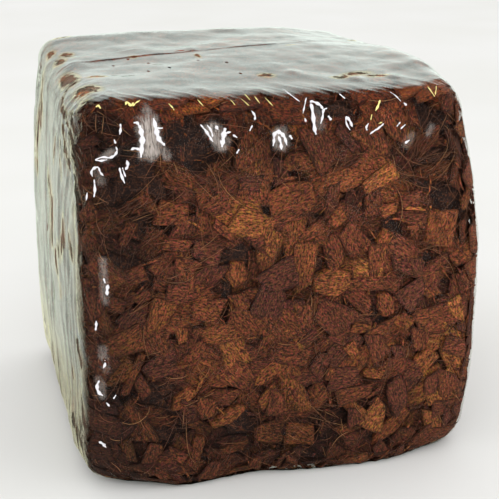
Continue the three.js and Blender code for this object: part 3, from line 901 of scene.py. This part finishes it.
def side_folds(points, normals):
    """Long upright folds down the left side, and slanting ones near its top front corner"""
    _, y, z = points.T
    facing = smooth_step(0.5, 0.95, -normals[:, 0])
    stretched = points * np.array([1, 1, 0.12])
    drift = noise_at(stretched, 16 * MM, 5)
    long, short, leaning = SIDE_FOLDS
    broad = waves(y, long, 3.5 * drift, 2)
    narrow = waves(y, short, 4.5 * drift, 2)
    slanting = waves(y * 0.75 + z * 0.45, leaning, 2 * drift, 3)
    front = fade(40, -110, y)
    corner = fade(180, 260, z) * fade(10, -90, y)
    upright = (1.3 * broad + (0.25 + 0.75 * front) * narrow) * patches(stretched, 22, 6, 0.5, 1)
    return facing * MM * (UPRIGHT_RISE * upright * (1 - 0.7 * corner) + SLANTING_RISE * slanting * corner)


def top_folds(points, normals):
    """Low folds on the top near its front edge, and knobs where a chip lifts the film"""
    x, y, _ = points.T
    length, rise = TOP_FOLDS
    wave = waves(x * 0.8 + y * 0.5, length, 5 * noise_at(points, 40 * MM, 8), 3)
    total = rise * wave * fade(-70, -145, y) * patches(points, 35, 9, 0.4, 1)
    for knob_x, knob_y, reach, raised in TOP_KNOBS:
        far = np.hypot(x - knob_x * MM, (y - knob_y * MM) * 0.8) / (reach * MM)
        total += raised * MM * bell(far)
    return smooth_step(0.6, 0.95, normals[:, 2]) * total


def puckers(points):
    """Hollows in the front of the film, cone-shaped, with gathers running into them"""
    total = np.zeros(len(points))
    front = fade(-105, -130, points[:, 1])
    for number, (x, z, reach, deep) in enumerate(PUCKERS):
        dx = (points[:, 0] - x * MM) / (reach * MM)
        dz = (points[:, 2] - z * MM) / (reach * MM)
        far = np.hypot(dx, dz)
        chosen = (far < 4) & (front > 0)
        around = np.arctan2(dz, dx)[chosen]
        far = far[chosen]
        gathers = np.cos((5 + number % 3) * (around + 0.35 * far) + number)
        cone = -PUCKER_RIM * np.log1p(np.exp((1 - far) / PUCKER_RIM))
        ridges = PUCKER_GATHERS * gathers * far * np.exp(-(far**2) * 0.5)
        total[chosen] += front[chosen] * deep * MM * (cone + ridges)
    return total


def lap_step(sharp, points, normals):
    """The raised strip of the lapped seam, which lies flatter in some places than in others"""
    strip = smooth_step(LAP_FRONT - LAP_OUTSIDE, LAP_FRONT + LAP_INSIDE, sharp[:, 1])
    lap_back = LAP_FRONT + LAP_WIDTH
    strip -= smooth_step(lap_back - LAP_INSIDE, lap_back + LAP_OUTSIDE, sharp[:, 1])
    proud = patches(points, 18, 20, 0.6, 0.8, 0.1)
    return LAP_RISE * proud * strip * smooth_step(0.75, 0.95, normals[:, 2])


def film_sheen(points, normals, folded):
    """Share of the film's gloss that is left where it lies on damp husk. Little is left over the
    whole front, up to where it rounds into the top and the left side, and a quarter on the right
    side and the back. folded is the way the film faces with its folds, normals without them"""
    facing_up = smooth_step(0.5, 0.8, normals[:, 2])
    to_right = fade(20, 130, points[:, 0])
    upward = DULL_UP_LEFT - (DULL_UP_LEFT - DULL_UP_RIGHT) * to_right
    turned = DULL_TO_LEFT * (1 - facing_up) + upward * facing_up
    face = smooth_step(0, 0.16, -folded[:, 1] - turned)
    kept = patches(points, 12, 16, 0.03, 0.25, 0.01, 0.25)
    low_down = fade(115, 50, points[:, 2])
    front = face * (1 - kept * (1 - 0.6 * low_down))
    right = smooth_step(0, 0.5, normals[:, 0]) * smooth_step(0.8, 0.5, normals[:, 2])
    back = smooth_step(0.2, 0.6, normals[:, 1])
    return (1 - front) * (1 - FAR_SIDE_DULLING * np.maximum(right, back))


def film_wetness(points, normals, low):
    """How much of the film clings to damp husk: on the left side, most near the front and low down,
    and along the streaks there, and in spots on the top"""
    x, y, z = points.T
    around = y - (x - low[0])
    least, more = LEFT_WETNESS
    wetness = least + more * np.maximum(fade(-105, -155, around), 0.7 * fade(115, 20, z))
    for reach, share, *places in LEFT_STREAKS:
        far = far_from_line(around, z, places) / (reach * MM)
        wetness += share * smooth_step(1.2, 0.2, far)
    spots = np.zeros(len(points))
    for spot_x, spot_y, wide, deep in DULL_SPOTS:
        far = np.hypot((x - spot_x * MM) / (wide * MM), (y - spot_y * MM) / (deep * MM))
        spots = np.maximum(spots, 1.2 * smooth_step(1.15, 0.3, far))
    left = smooth_step(0.1, 0.5, -normals[:, 0])
    return left * wetness + smooth_step(0.4, 0.7, normals[:, 2]) * spots


def film_streaks(points):
    """Places along and across the wet streaks, which run upright and lean at the top front corner"""
    x, y, z = points.T
    lean = 2.2 * np.maximum(z - 170 * MM, 0) ** 2
    drift = STREAK_DRIFT * noise_at(points * np.array([1, 1, 0.3]), 30 * MM, 21)
    wide, long = WET_STREAK
    return np.stack([x / wide, (y + lean + drift) / wide, (z - y) / long], 1)


def film_cloud_and_glare(points, normals):
    """How cloudy the film is where it is bunched on the front, partly painted glare"""
    total = np.zeros(len(points))
    ragged = 0.3 * noise_at(points, 4 * MM, 17)
    for reach, share, *places in CLOUDY_GLARE:
        far = far_from_line(points[:, 0], points[:, 2], places) / (reach * MM)
        total = np.maximum(total, share * smooth_step(1.1, 0.3, far + ragged))
    return total * smooth_step(0.1, 0.4, -normals[:, 1])


def rounded_line(places):
    """A line through places with its corners cut off twice over"""
    line = np.array(places, float)
    for _ in range(2):
        inside = [line[:1]]
        for start, end in zip(line[:-1], line[1:]):
            inside.append(np.array([0.75 * start + 0.25 * end, 0.25 * start + 0.75 * end]))
        line = np.concatenate([*inside, line[-1:]])
    return line * MM


def fold_strip(width, places, film_tree, number):
    """A tight fold along a line on the front: a low ridge that tapers to both ends"""
    spots = [on_front(film_tree, x, z) for x, z in rounded_line(places)]
    spots = [(np.array(place), np.array(normal)) for place, normal in spots]
    usual, swing = FOLD_WIDTH
    points = []
    for index, (place, normal) in enumerate(spots):
        ahead = spots[min(index + 1, len(spots) - 1)][0] - spots[max(index - 1, 0)][0]
        side = np.cross(normal, ahead)
        side /= np.linalg.norm(side)
        end = abs(2 * index / (len(spots) - 1) - 1)
        waver = usual + swing * math.sin(1.4 * index + 2.3 * number)
        wide = width * MM * (1 - FOLD_TAPER * end**2) * waver
        points += [place + side * across * wide + normal * up * wide for across, up in FOLD_SECTION]
    ring = len(FOLD_SECTION)
    faces = [list(range(ring)), list(range(len(points) - 1, len(points) - 1 - ring, -1))]
    for start in range(0, len(points) - ring, ring):
        for corner in range(ring):
            beside = (corner + 1) % ring
            faces.append([start + corner, start + ring + corner, start + ring + beside, start + beside])
    return points, faces


def add_folds(mesh):
    """Add the tight folds to the film's mesh"""
    film_tree = tree_of(mesh)
    numbered = [(1, *fold) for fold in enumerate(WHITE_GLINT_FOLDS)]
    numbered += [(2, *fold) for fold in enumerate(YELLOW_GLINT_FOLDS)]
    with edited(mesh) as solid:
        for slot, number, (width, *places) in numbered:
            points, faces = fold_strip(width, places, film_tree, number)
            corners = [solid.verts.new(point) for point in points]
            for face in faces:
                made = solid.faces.new([corners[corner] for corner in face])
                made.material_index = slot


def make_film():
    """The film as it lies over the chips, with its folds, puckers and seam"""
    steps = (-LAP_OUTSIDE, -LAP_INSIDE, LAP_INSIDE, LAP_OUTSIDE)
    beside_lap = [edge + step for edge in (LAP_FRONT, LAP_FRONT + LAP_WIDTH) for step in steps]
    points, quads, sharp = without_base(*wrap(FILM_PLAN, FILM_SPACING, beside_lap))
    mesh = new_mesh("film", points, quads.tolist())
    normals = vertex_normals(mesh)
    low, high = span("shrink_film")
    calm = smooth_step(-0.5, -0.9, normals[:, 1])
    lift = lumps_at(points, FILM_LUMPS) * (1 - 0.5 * calm)
    folds, creases = edge_folds(points, low, high)
    lift += folds
    lift += side_folds(points, normals)
    lift += top_folds(points, normals)
    lift += puckers(points)
    lift += lap_step(sharp, points, normals)
    moved = points + normals * lift[:, None]
    moved[:, 2] = np.maximum(moved[:, 2], 0)
    set_positions(mesh, moved)
    left = smooth_step(0.5, 0.95, -normals[:, 0])
    creases[:, 1] = np.maximum(creases[:, 1], SIDE_CREASES * left)
    store(mesh, "creases", creases)
    store(mesh, "sheen", film_sheen(points, normals, vertex_normals(mesh)))
    store(mesh, "wetness", film_wetness(points, normals, low))
    store(mesh, "streak", film_streaks(points))
    store(mesh, "cloud", film_cloud_and_glare(points, normals))
    fill_base(mesh)
    add_folds(mesh)
    mesh.shade_smooth()
    for material in (FILM, WHITE_GLINT, YELLOW_GLINT):
        mesh.materials.append(material)
    return new_object("film", mesh)


# Mat of dust and short fibre


def make_mat(points, quads):
    """The inside of the bale, coloured dark as painted shade, a lumpy copy of the film's form some way under
    it
    """
    mesh = new_mesh("mat", points, quads.tolist())
    lift = lumps_at(points, MAT_LUMPS)
    at_front = points[:, 1] < -110 * MM
    for x, z in PITS:
        far = np.hypot(points[:, 0] - x * MM, points[:, 2] - z * MM) / PIT_REACH
        lift -= PIT_DEPTH * bell(far) * at_front
    lift = np.maximum(lift, -PITS_TOGETHER * PIT_DEPTH)
    set_positions(mesh, points + vertex_normals(mesh) * (lift - MAT_DEPTH)[:, None])
    mesh.materials.append(MAT)
    return new_object("mat", mesh)


# Husk chips


def form_mesh(kind, number, points, faces, paleness_and_rim_shade):
    """The mesh of one form, one unit long, with what its material reads"""
    mesh = new_mesh(f"{kind}_form_{number:02d}", points, faces)
    mesh.update()
    store(mesh, "grain", positions(mesh))
    store(mesh, "face", paleness_and_rim_shade)
    return mesh


def chip_form(number):
    """One form of husk chip, a flat piece one unit long with its fibres along X"""
    rng = np.random.default_rng(200 + number)
    along = (-1, -0.85, -0.25, 0.3, 0.85, 1)
    across = (-1, -0.75, 0.75, 1)
    columns, rows = len(along), len(across)
    wide = rng.uniform(0.28, 0.8)
    thick = rng.uniform(0.10, 0.17)
    torn = rng.uniform(-0.09, 0.09, (2, rows))
    slant = rng.uniform(-0.35, 0.35, 2)
    bow = rng.uniform(-0.08, 0.08, 2)
    taper = rng.uniform(-0.35, 0.35)
    skew = rng.uniform(-0.2, 0.2)
    ridge = rng.uniform(-0.3, 0.3, rows)
    squareness = rng.uniform(4, 12)
    points, paleness_and_rim_shade = [], []
    for top in (1, 0):
        for i, u in enumerate(along):
            for j, v in enumerate(across):
                end = 1 if u > 0 else 0
                side = 1 if v > 0 else 0
                power = abs(u) ** squareness + abs(v) ** squareness
                rounded = max(abs(u), abs(v)) / power ** (1 / squareness)
                x = 0.5 * rounded * u * (1 + abs(u) * (torn[end, j] + slant[end] * v))
                y = 0.5 * rounded * wide * v * (1 + taper * u + bow[side] * (1 - u * u))
                y += skew * u * wide
                on_rim = i in (0, columns - 1) or j in (0, rows - 1)
                height = (0.35 if on_rim else 1 + ridge[j]) if top else -1
                points.append((x, y, thick / 2 * height + rng.uniform(-0.006, 0.006)))
                # Rims and undersides get 0 and come out darker: partly dark cut edges, partly painted shade
                # between the chips
                paleness_and_rim_shade.append(0 if on_rim or not top else 1)

    def at(top, i, j):
        return (0 if top else columns * rows) + i * rows + j

    faces = [
        (at(1, i, j), at(1, i + 1, j), at(1, i + 1, j + 1), at(1, i, j + 1))
        for i in range(columns - 1)
        for j in range(rows - 1)
    ]
    rim = [(i, 0) for i in range(columns - 1)] + [(columns - 1, j) for j in range(rows - 1)]
    rim += [(i, rows - 1) for i in range(columns - 1, 0, -1)] + [(0, j) for j in range(rows - 1, 0, -1)]
    for (i, j), (k, m) in zip(rim, rim[1:] + rim[:1]):
        faces.append((at(0, i, j), at(0, k, m), at(1, k, m), at(1, i, j)))
    faces.append(tuple(at(0, i, j) for i, j in reversed(rim)))
    used = sorted({corner for face in faces for corner in face})
    order = {corner: place for place, corner in enumerate(used)}
    faces = [[order[c] for c in face] for face in faces]
    return form_mesh("chip", number, [points[c] for c in used], faces, [paleness_and_rim_shade[c] for c in used])


def sliver_form(number):
    """A short thick strand torn from a husk, one unit long with its fibres along X"""
    rng = np.random.default_rng(400 + number)
    wide = rng.uniform(0.07, 0.26)
    bend = rng.uniform(-0.14, 0.14)
    sides = 4
    sections = ((-0.5, 0.3), (-0.17, 1.0), (0.2, 0.9), (0.5, 0.25))
    points = []
    for x, share in sections:
        for side in range(sides):
            angle = 2 * math.pi * (side + 0.5) / sides
            reach = wide / 2 * share * rng.uniform(0.8, 1.2)
            shift = bend * (1 - 4 * x * x)
            points.append((x, shift + reach * math.cos(angle), 0.45 * reach * math.sin(angle)))
    faces = [tuple(reversed(range(sides))), tuple(range(len(points) - sides, len(points)))]
    for start in range(0, len(points) - sides, sides):
        for side in range(sides):
            beside = (side + 1) % sides
            faces.append((start + side, start + beside, start + sides + beside, start + sides + side))
    return form_mesh("sliver", number, points, faces, [0.9] * len(points))


def crumb_form(number):
    """A small flat crumb of husk, one unit long"""
    rng = np.random.default_rng(600 + number)
    wide = rng.uniform(0.3, 0.7)
    points = [(0, 0, 0.2), (0, 0, -0.2)]
    corners = 5
    for corner in range(corners):
        angle = 2 * math.pi * (corner + rng.uniform(-0.3, 0.3)) / corners
        reach = rng.uniform(0.35, 0.5)
        points.append((reach * math.cos(angle), wide * reach * math.sin(angle), rng.uniform(-0.06, 0.06)))
    faces = []
    for corner in range(corners):
        here, beside = 2 + corner, 2 + (corner + 1) % corners
        faces += [(0, here, beside), (1, beside, here)]
    return form_mesh("crumb", number, points, faces, [0.5] * len(points))


FORMS = {"chip": (chip_form, 16), "sliver": (sliver_form, 8), "crumb": (crumb_form, 6)}


def form_collection(kind):
    """The forms of one kind of piece, as a collection for the scattering tree to pick from"""
    make_form, count = FORMS[kind]
    collection = bpy.data.collections.new(f"{kind}_forms")
    for number in range(count):
        mesh = make_form(number)
        collection.objects.link(bpy.data.objects.new(mesh.name, mesh))
    return collection


class Growth(Nodes):
    """A Geometry Nodes tree with named inputs, which grows pieces out of others"""

    def __init__(self, name, inputs):
        tree = bpy.data.node_groups.new(name, "GeometryNodeTree")
        tree.is_modifier = True
        super().__init__(tree)
        self.identifiers = {}
        for label, kind in inputs.items():
            made = tree.interface.new_socket(label, in_out="INPUT", socket_type="NodeSocket" + kind)
            self.identifiers[label] = made.identifier
        tree.interface.new_socket("Pieces", in_out="OUTPUT", socket_type="NodeSocketGeometry")
        self.given = tree.nodes.new("NodeGroupInput").outputs

    def random(self, low, high, salt, kind="FLOAT"):
        seed = self.math("ADD", self.given["Seed"], float(salt))
        drawn = self.add("FunctionNodeRandomValue", data_type=kind, Min=low, Max=high, Seed=seed)
        return drawn.outputs["Value"]

    def mesh_of(self, name):
        return self.add("GeometryNodeObjectInfo", Object=self.given[name]).outputs["Geometry"]

    def labelled(self, geometry, name, value, domain):
        """The geometry with a value stored on it under a name"""
        node = self.add("GeometryNodeStoreNamedAttribute", domain=domain, Geometry=geometry, Value=value)
        self.put(self.socket(node, "Name"), name)
        return node.outputs[0]

    def end(self, geometry):
        """The end of the tree, as plain mesh in its material"""
        plain = self.add("GeometryNodeRealizeInstances", Geometry=geometry).outputs[0]
        finish = self.given["Finish"]
        made = self.add("GeometryNodeSetMaterial", Geometry=plain, Material=finish).outputs[0]
        self.put(self.tree.nodes.new("NodeGroupOutput").inputs[0], made)

    def grow(self, piece, values):
        """The piece worked into a plain mesh by the tree, with values for its named inputs"""
        modifier = piece.modifiers.new("growth", "NODES")
        modifier.node_group = self.tree
        for label, value in values.items():
            modifier[self.identifiers[label]] = value
        return made_plain(piece)


SCATTER_INPUTS = {
    "Surface": "Geometry", "Forms": "Collection", "Last Form": "Int", "Film": "Object",
    "Keep Clear": "Object", "Clear Reach": "Float", "Pits": "Object", "Pit Reach": "Float",
    "Spacing": "Float", "Least Depth": "Float", "Most Depth": "Float", "Least Length": "Float",
    "Most Length": "Float", "Tilt": "Float", "Film Gap": "Float", "Finish": "Material", "Seed": "Int",
}


def spread_points(nodes, length):
    """Points laid under the surface, clear of the separate chips and the pits, and the way it faces"""
    given = nodes.given
    spread = nodes.add(
        "GeometryNodeDistributePointsOnFaces",
        distribute_method="POISSON",
        Mesh=given["Surface"],
        Distance_Min=given["Spacing"],
        Density_Max=MOST_CHIPS,
        Seed=given["Seed"],
    )
    deep = nodes.random(given["Least Depth"], given["Most Depth"], 1)
    down = nodes.scaled(spread.outputs["Normal"], nodes.math("MULTIPLY", deep, -1.0))
    laid = nodes.add("GeometryNodeSetPosition", Geometry=spread.outputs["Points"], Offset=down)
    guard = nodes.mesh_of("Keep Clear")
    to_guard = nodes.add("GeometryNodeProximity", Geometry=guard).outputs["Distance"]
    crowded = nodes.math("LESS_THAN", to_guard, given["Clear Reach"])
    pits = nodes.mesh_of("Pits")
    to_pit = nodes.add("GeometryNodeProximity", target_element="POINTS", Geometry=pits).outputs["Distance"]
    over_pit = nodes.math("LESS_THAN", to_pit, nodes.line(length, CHIP_SHARE, given["Pit Reach"]))
    unwanted = nodes.math("MAXIMUM", crowded, over_pit)
    kept = nodes.add("GeometryNodeDeleteGeometry", Geometry=laid.outputs[0], Selection=unwanted)
    return kept.outputs[0], spread.outputs["Rotation"]


def turned_any_way(nodes, rotation):
    """The way a chip lies: turned freely in the surface, then tilted a little out of it"""
    tilt = nodes.given["Tilt"]
    tilt_down = nodes.math("MULTIPLY", tilt, -1.0)
    lean_x, lean_y = nodes.random(tilt_down, tilt, 2), nodes.random(tilt_down, tilt, 3)
    turn = nodes.random(0.0, 2 * math.pi, 4)
    for euler in (nodes.joined(0.0, 0.0, turn), nodes.joined(lean_x, lean_y, 0.0)):
        turned = nodes.add("FunctionNodeEulerToRotation", Euler=euler).outputs[0]
        step = nodes.add("FunctionNodeRotateRotation", rotation_space="LOCAL", Rotation=rotation)
        nodes.put(nodes.socket(step, "Rotate By"), turned)
        rotation = step.outputs[0]
    return rotation


def pressed_under_film(nodes, chips):
    """The chips with each point's depth stored on it, and the points that stand out of the film
    moved in under it"""
    film, gap = nodes.mesh_of("Film"), nodes.given["Film Gap"]
    nearest = nodes.add("GeometryNodeProximity", Geometry=film).outputs["Position"]
    sampled = nodes.add("GeometryNodeSampleNearestSurface", data_type="FLOAT_VECTOR")
    nodes.put(sampled.inputs[0], film)
    nodes.put(nodes.socket(sampled, "Value"), nodes.add("GeometryNodeInputNormal").outputs[0])
    outward = sampled.outputs[0]
    place = nodes.add("GeometryNodeInputPosition").outputs[0]
    above = nodes.vector("DOT_PRODUCT", nodes.vector("SUBTRACT", place, nearest), outward)
    depth = nodes.math("MAXIMUM", nodes.math("MULTIPLY", above, -1.0), gap)
    chips = nodes.labelled(chips, "depth", depth, "POINT")
    push = nodes.math("MAXIMUM", nodes.math("ADD", above, gap), 0.0)
    press = nodes.scaled(outward, nodes.math("MULTIPLY", push, -1.0))
    return nodes.add("GeometryNodeSetPosition", Geometry=chips, Offset=press).outputs[0]


def scatter_tree():
    """Geometry Nodes: chips scattered over a surface, pressed down to lie under the film"""
    nodes = Growth("scatter_chips", SCATTER_INPUTS)
    given = nodes.given
    length = nodes.random(given["Least Length"], given["Most Length"], 5)
    points, facing = spread_points(nodes, length)
    forms = nodes.add("GeometryNodeCollectionInfo", Collection=given["Forms"], Separate_Children=True)
    chips = nodes.add(
        "GeometryNodeInstanceOnPoints",
        Points=points,
        Instance=forms.outputs[0],
        Pick_Instance=True,
        Instance_Index=nodes.random(0, given["Last Form"], 6, "INT"),
        Rotation=turned_any_way(nodes, facing),
        Scale=nodes.joined(length, length, nodes.line(length, THICKENING, THINNEST)),
    ).outputs[0]
    chips = nodes.labelled(chips, "tone", nodes.random(0.0, 1.0, 7), "INSTANCE")
    chips = nodes.labelled(chips, "size", length, "INSTANCE")
    chips = nodes.add("GeometryNodeRealizeInstances", Geometry=chips).outputs[0]
    nodes.end(pressed_under_film(nodes, chips))
    return nodes


def scatter_chips(name, layer, scatter, surface, film, forms, guard, pits):
    """One layer of chips as a plain mesh"""
    least, most = layer["depth"]
    short, long = layer["length"]
    values = {
        "Forms": forms,
        "Last Form": len(forms.objects) - 1,
        "Film": film,
        "Keep Clear": guard,
        "Clear Reach": layer["clear"] * MM,
        "Pits": pits,
        "Pit Reach": layer["pit"] * MM,
        "Spacing": layer["spacing"] * MM,
        "Least Depth": least * MM,
        "Most Depth": most * MM,
        "Least Length": short * MM,
        "Most Length": long * MM,
        "Tilt": math.radians(layer["tilt"]),
        "Film Gap": layer["gap"] * MM,
        "Finish": HUSK,
        "Seed": layer["seed"],
    }
    return scatter.grow(new_object(name, surface.copy()), values)


def loose_chip(node, number, film_tree):
    """A separate chip: the CAD chip's own form with torn ends and fibrous ridges"""
    mesh = frame["nodes"][node].data.copy()
    with edited(mesh) as solid:
        bmesh.ops.remove_doubles(solid, verts=solid.verts, dist=0.01 * MM)
    mesh.materials.clear()
    piece = new_object(node.replace("husk_chip", "loose_chip"), mesh)
    remesh = piece.modifiers.new("even", "REMESH")
    remesh.mode = "VOXEL"
    remesh.voxel_size = LOOSE_CHIP_MESH
    made_plain(piece)
    points, normals = positions(piece.data), vertex_normals(piece.data)
    around = points - points.mean(0)
    _, axes = np.linalg.eigh(around.T @ around)
    local = around @ axes[:, ::-1]
    half = np.abs(local).max(0)
    along = local * np.array([0.12, 1, 1])
    (ridged, ridge), (lumped, lump), (torn, tear) = CHIP_RIDGES, CHIP_LUMPS, TORN_ENDS
    lift = ridged * noise_at(along, ridge, number) + lumped * noise_at(local, lump, number + 50)
    end = smooth_step(0.72, 1.0, np.abs(local[:, 0]) / half[0])
    lift -= end * torn * np.abs(noise_at(local * np.array([0.3, 1, 1]), tear, number + 90))
    moved = points + normals * (lift - CHIP_INSET)[:, None]
    for index, point in enumerate(moved):
        place, normal, _, _ = film_tree.find_nearest(Vector(point))
        above = (Vector(point) - place).dot(normal) + FILM_GAP
        if above > 0:
            moved[index] = point - np.array(normal) * above
    set_positions(piece.data, moved)
    tone = FRONT_TONES[number] if number < len(FRONT_TONES) else 0.35 + 0.6 * ((number * 0.618) % 1)
    store(piece.data, "grain", local)
    store(piece.data, "tone", np.full(len(points), tone))
    store(piece.data, "size", np.ones(len(points)))
    store(piece.data, "face", np.ones(len(points)))
    piece.data.shade_smooth()
    piece.data.materials.append(HUSK)
    return piece


# Coir fibres


def fibre_path(rng, start, way, count, length, curl, surface_tree, film_tree):
    """Points of one fibre that follows the bale's surface, with its ends sunk in the chips"""
    step = length / (count - 1)
    depth = rng.uniform(*FIBRE_DEPTH)
    point, way = Vector(start), Vector(way)
    path = []
    turn = rng.normal(0, curl)
    for index in range(count):
        place, normal, _, _ = surface_tree.find_nearest(point)
        sunk = abs(2 * index / (count - 1) - 1) ** 3 * SUNK_ENDS
        laid = place - normal * (depth + sunk)
        on_film, outward, _, _ = film_tree.find_nearest(laid)
        above = (laid - on_film).dot(outward) + FILM_GAP
        path.append(laid - outward * max(above, 0))
        way = (way - normal * way.dot(normal)).normalized()
        turn += rng.normal(0, curl * 0.5)
        way = Matrix.Rotation(turn, 3, normal) @ way
        point = place + way * step
    return path


def fibre_starts(rng, count, curl):
    """Starting place, way and curl of each fibre, spread over the sides and in the bundles"""
    low, high = span("shrink_film")
    starts = []
    for _ in range(count):
        place = low + rng.random(3) * (high - low)
        axis, side = rng.integers(0, 3), rng.integers(0, 2)
        place[axis] = (low, high)[side][axis]
        starts.append((place, rng.normal(size=3), curl))
    for x, z, angle, bundled in FIBRE_BUNDLES:
        angle = math.radians(angle)
        way = np.array([math.cos(angle), 0, math.sin(angle)])
        for _ in range(bundled):
            place = np.array([x * MM, 0, z * MM]) + rng.normal(0, BUNDLE_SPREAD, 3) - way * BUNDLE_START
            place[1] = low[1]
            starts.append((place, way + rng.normal(0, BUNDLE_FRAY, 3), BUNDLE_CURL))
    return starts


def fibre_tree():
    """Geometry Nodes: a thin round strand along each line of points"""
    nodes = Growth("fibre_strands", {"Lines": "Geometry", "Finish": "Material"})
    thick = nodes.add("GeometryNodeInputNamedAttribute", data_type="FLOAT", Name="thickness")
    curves = nodes.add("GeometryNodeMeshToCurve", Mesh=nodes.given["Lines"]).outputs[0]
    section = nodes.add("GeometryNodeCurvePrimitiveCircle", Resolution=3, Radius=1.0).outputs[0]
    strands = nodes.filled("GeometryNodeCurveToMesh", (curves, section, thick.outputs[0], True))
    nodes.end(strands.outputs[0])
    return nodes


def make_fibres(name, kind, surface_tree, film_tree, strands):
    """All the loose fibres of one kind as one piece"""
    rng = np.random.default_rng(kind["seed"])
    count = kind["points"]
    points, links, tones, widths = [], [], [], []
    for start, way, curl in fibre_starts(rng, kind["count"], kind["curl"]):
        length = rng.uniform(*kind["length"]) * MM
        first = len(points)
        points += fibre_path(rng, start, way, count, length, curl, surface_tree, film_tree)
        links += [(first + k, first + k + 1) for k in range(count - 1)]
        tones += [rng.random()] * count
        radius = rng.uniform(*kind["radius"]) * MM
        ends = [abs(2 * k / (count - 1) - 1) for k in range(count)]
        widths += [radius * (1 - THINNER_ENDS * end**2) for end in ends]
    mesh = new_mesh(name, points, [], links)
    store(mesh, "tone", tones)
    store(mesh, "thickness", widths)
    return strands.grow(new_object(name, mesh), {"Finish": FIBRE})


def keep_clear_object(name, nodes):
    """The separate chips in one object, for the scattering tree to keep clear of"""
    joined = bmesh.new()
    for node in nodes:
        joined.from_mesh(frame["nodes"][node].data)
    mesh = bpy.data.meshes.new(name)
    joined.to_mesh(mesh)
    joined.free()
    return bpy.data.objects.new(name, mesh)


def pits_object(name, film_tree):
    """The middles of the pits, as points just under the film"""
    places = [on_front(film_tree, x * MM, z * MM)[0] + Vector((0, 4 * MM, 0)) for x, z in PITS]
    return bpy.data.objects.new(name, new_mesh(name, places, []))


# Make the pieces

loose_names = sorted(n for n in frame["nodes"] if n.startswith("husk_chip_"))
film = make_film()
inner_points, inner_quads, _ = wrap(INNER_PLAN, INNER_SPACING)
mat = make_mat(inner_points, inner_quads)
lay_surface = new_mesh("lay_surface", inner_points, inner_quads.tolist())

forms = {kind: form_collection(kind) for kind in FORMS}
film_tree = tree_of(film.data)
guard = keep_clear_object("keep_clear", loose_names)
pits = pits_object("pits", film_tree)
scatter = scatter_tree()
layers = [
    scatter_chips(name, layer, scatter, lay_surface, film, forms[layer["form"]], guard, pits)
    for name, layer in LAYERS.items()
]
loose = [loose_chip(node, number, film_tree) for number, node in enumerate(loose_names)]
lay_tree = tree_of(lay_surface)
strands = fibre_tree()
fibres = [make_fibres(name, kind, lay_tree, film_tree, strands) for name, kind in FIBRES.items()]

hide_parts("shrink_film")
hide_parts("husk_block")
for piece, node in zip(loose, loose_names):
    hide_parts(node)
for piece in [film, mat, *fibres, *layers, *loose]:
    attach(piece, "root")

for helper in [guard, pits, *(form for collection in forms.values() for form in collection.objects)]:
    bpy.data.objects.remove(helper)

# Floor, lights and camera


def make_floor():
    corners = [(x * FLOOR_REACH, y * FLOOR_REACH, 0) for x, y in ((-1, -1), (1, -1), (1, 1), (-1, 1))]
    mesh = new_mesh("floor", corners, [(0, 1, 2, 3)])
    mesh.materials.append(floor_material())
    return new_object("floor", mesh)


def area_lamp(name, place, size, power):
    """A soft lamp aimed at the middle of the bale"""
    light = bpy.data.lights.new(name, "AREA")
    light.shape = "RECTANGLE"
    light.size, light.size_y = size
    light.energy = power
    lamp = new_object(name, light)
    lamp.location = place
    lamp.rotation_euler = (MIDDLE - Vector(place)).to_track_quat("-Z", "Y").to_euler()


def studio_world():
    """Soft white light from all round, a little brighter from behind the bale and from the right"""
    world = bpy.data.worlds.new("studio")
    bpy.context.scene.world = world
    world.use_nodes = True
    nodes = Nodes(world.node_tree)
    x, y, _ = nodes.parted(nodes.add("ShaderNodeTexCoord").outputs["Generated"])
    glow = nodes.ramp(nodes.line(y, 0.5, 0.5), WORLD_GLOW)
    rightward = nodes.ramp(x, WORLD_RIGHT, "EASE")
    background = world.node_tree.nodes["Background"]
    nodes.put(background.inputs["Color"], nodes.scaled(glow, nodes.line(rightward, RIGHT_BRIGHTER, 1.0)))
    background.inputs["Strength"].default_value = WORLD_STRENGTH


def photo_camera():
    """The camera where the photo was taken from"""
    data = bpy.data.cameras.new("camera")
    camera = new_object("camera", data)
    bpy.context.scene.camera = camera
    data.sensor_width = CAMERA_SENSOR
    data.lens = CAMERA_LENS
    yaw_sine, yaw_cosine = math.sin(CAMERA_YAW), math.cos(CAMERA_YAW)
    pitch_sine, pitch_cosine = math.sin(CAMERA_PITCH), math.cos(CAMERA_PITCH)
    ahead = Vector((yaw_sine * pitch_cosine, yaw_cosine * pitch_cosine, -pitch_sine))
    level = Vector((yaw_cosine, -yaw_sine, 0))
    above = level.cross(ahead)
    rolled = level * math.cos(CAMERA_ROLL) + above * math.sin(CAMERA_ROLL)
    upright = above * math.cos(CAMERA_ROLL) - level * math.sin(CAMERA_ROLL)
    pose = Matrix((rolled, upright, -ahead)).transposed().to_4x4()
    pose.translation = CAMERA_PLACE
    camera.matrix_world = pose


make_floor()
for name, (place, size, power) in LAMPS.items():
    area_lamp(name, place, size, power)
studio_world()
photo_camera()
bpy.context.scene.view_settings.view_transform = "Standard"
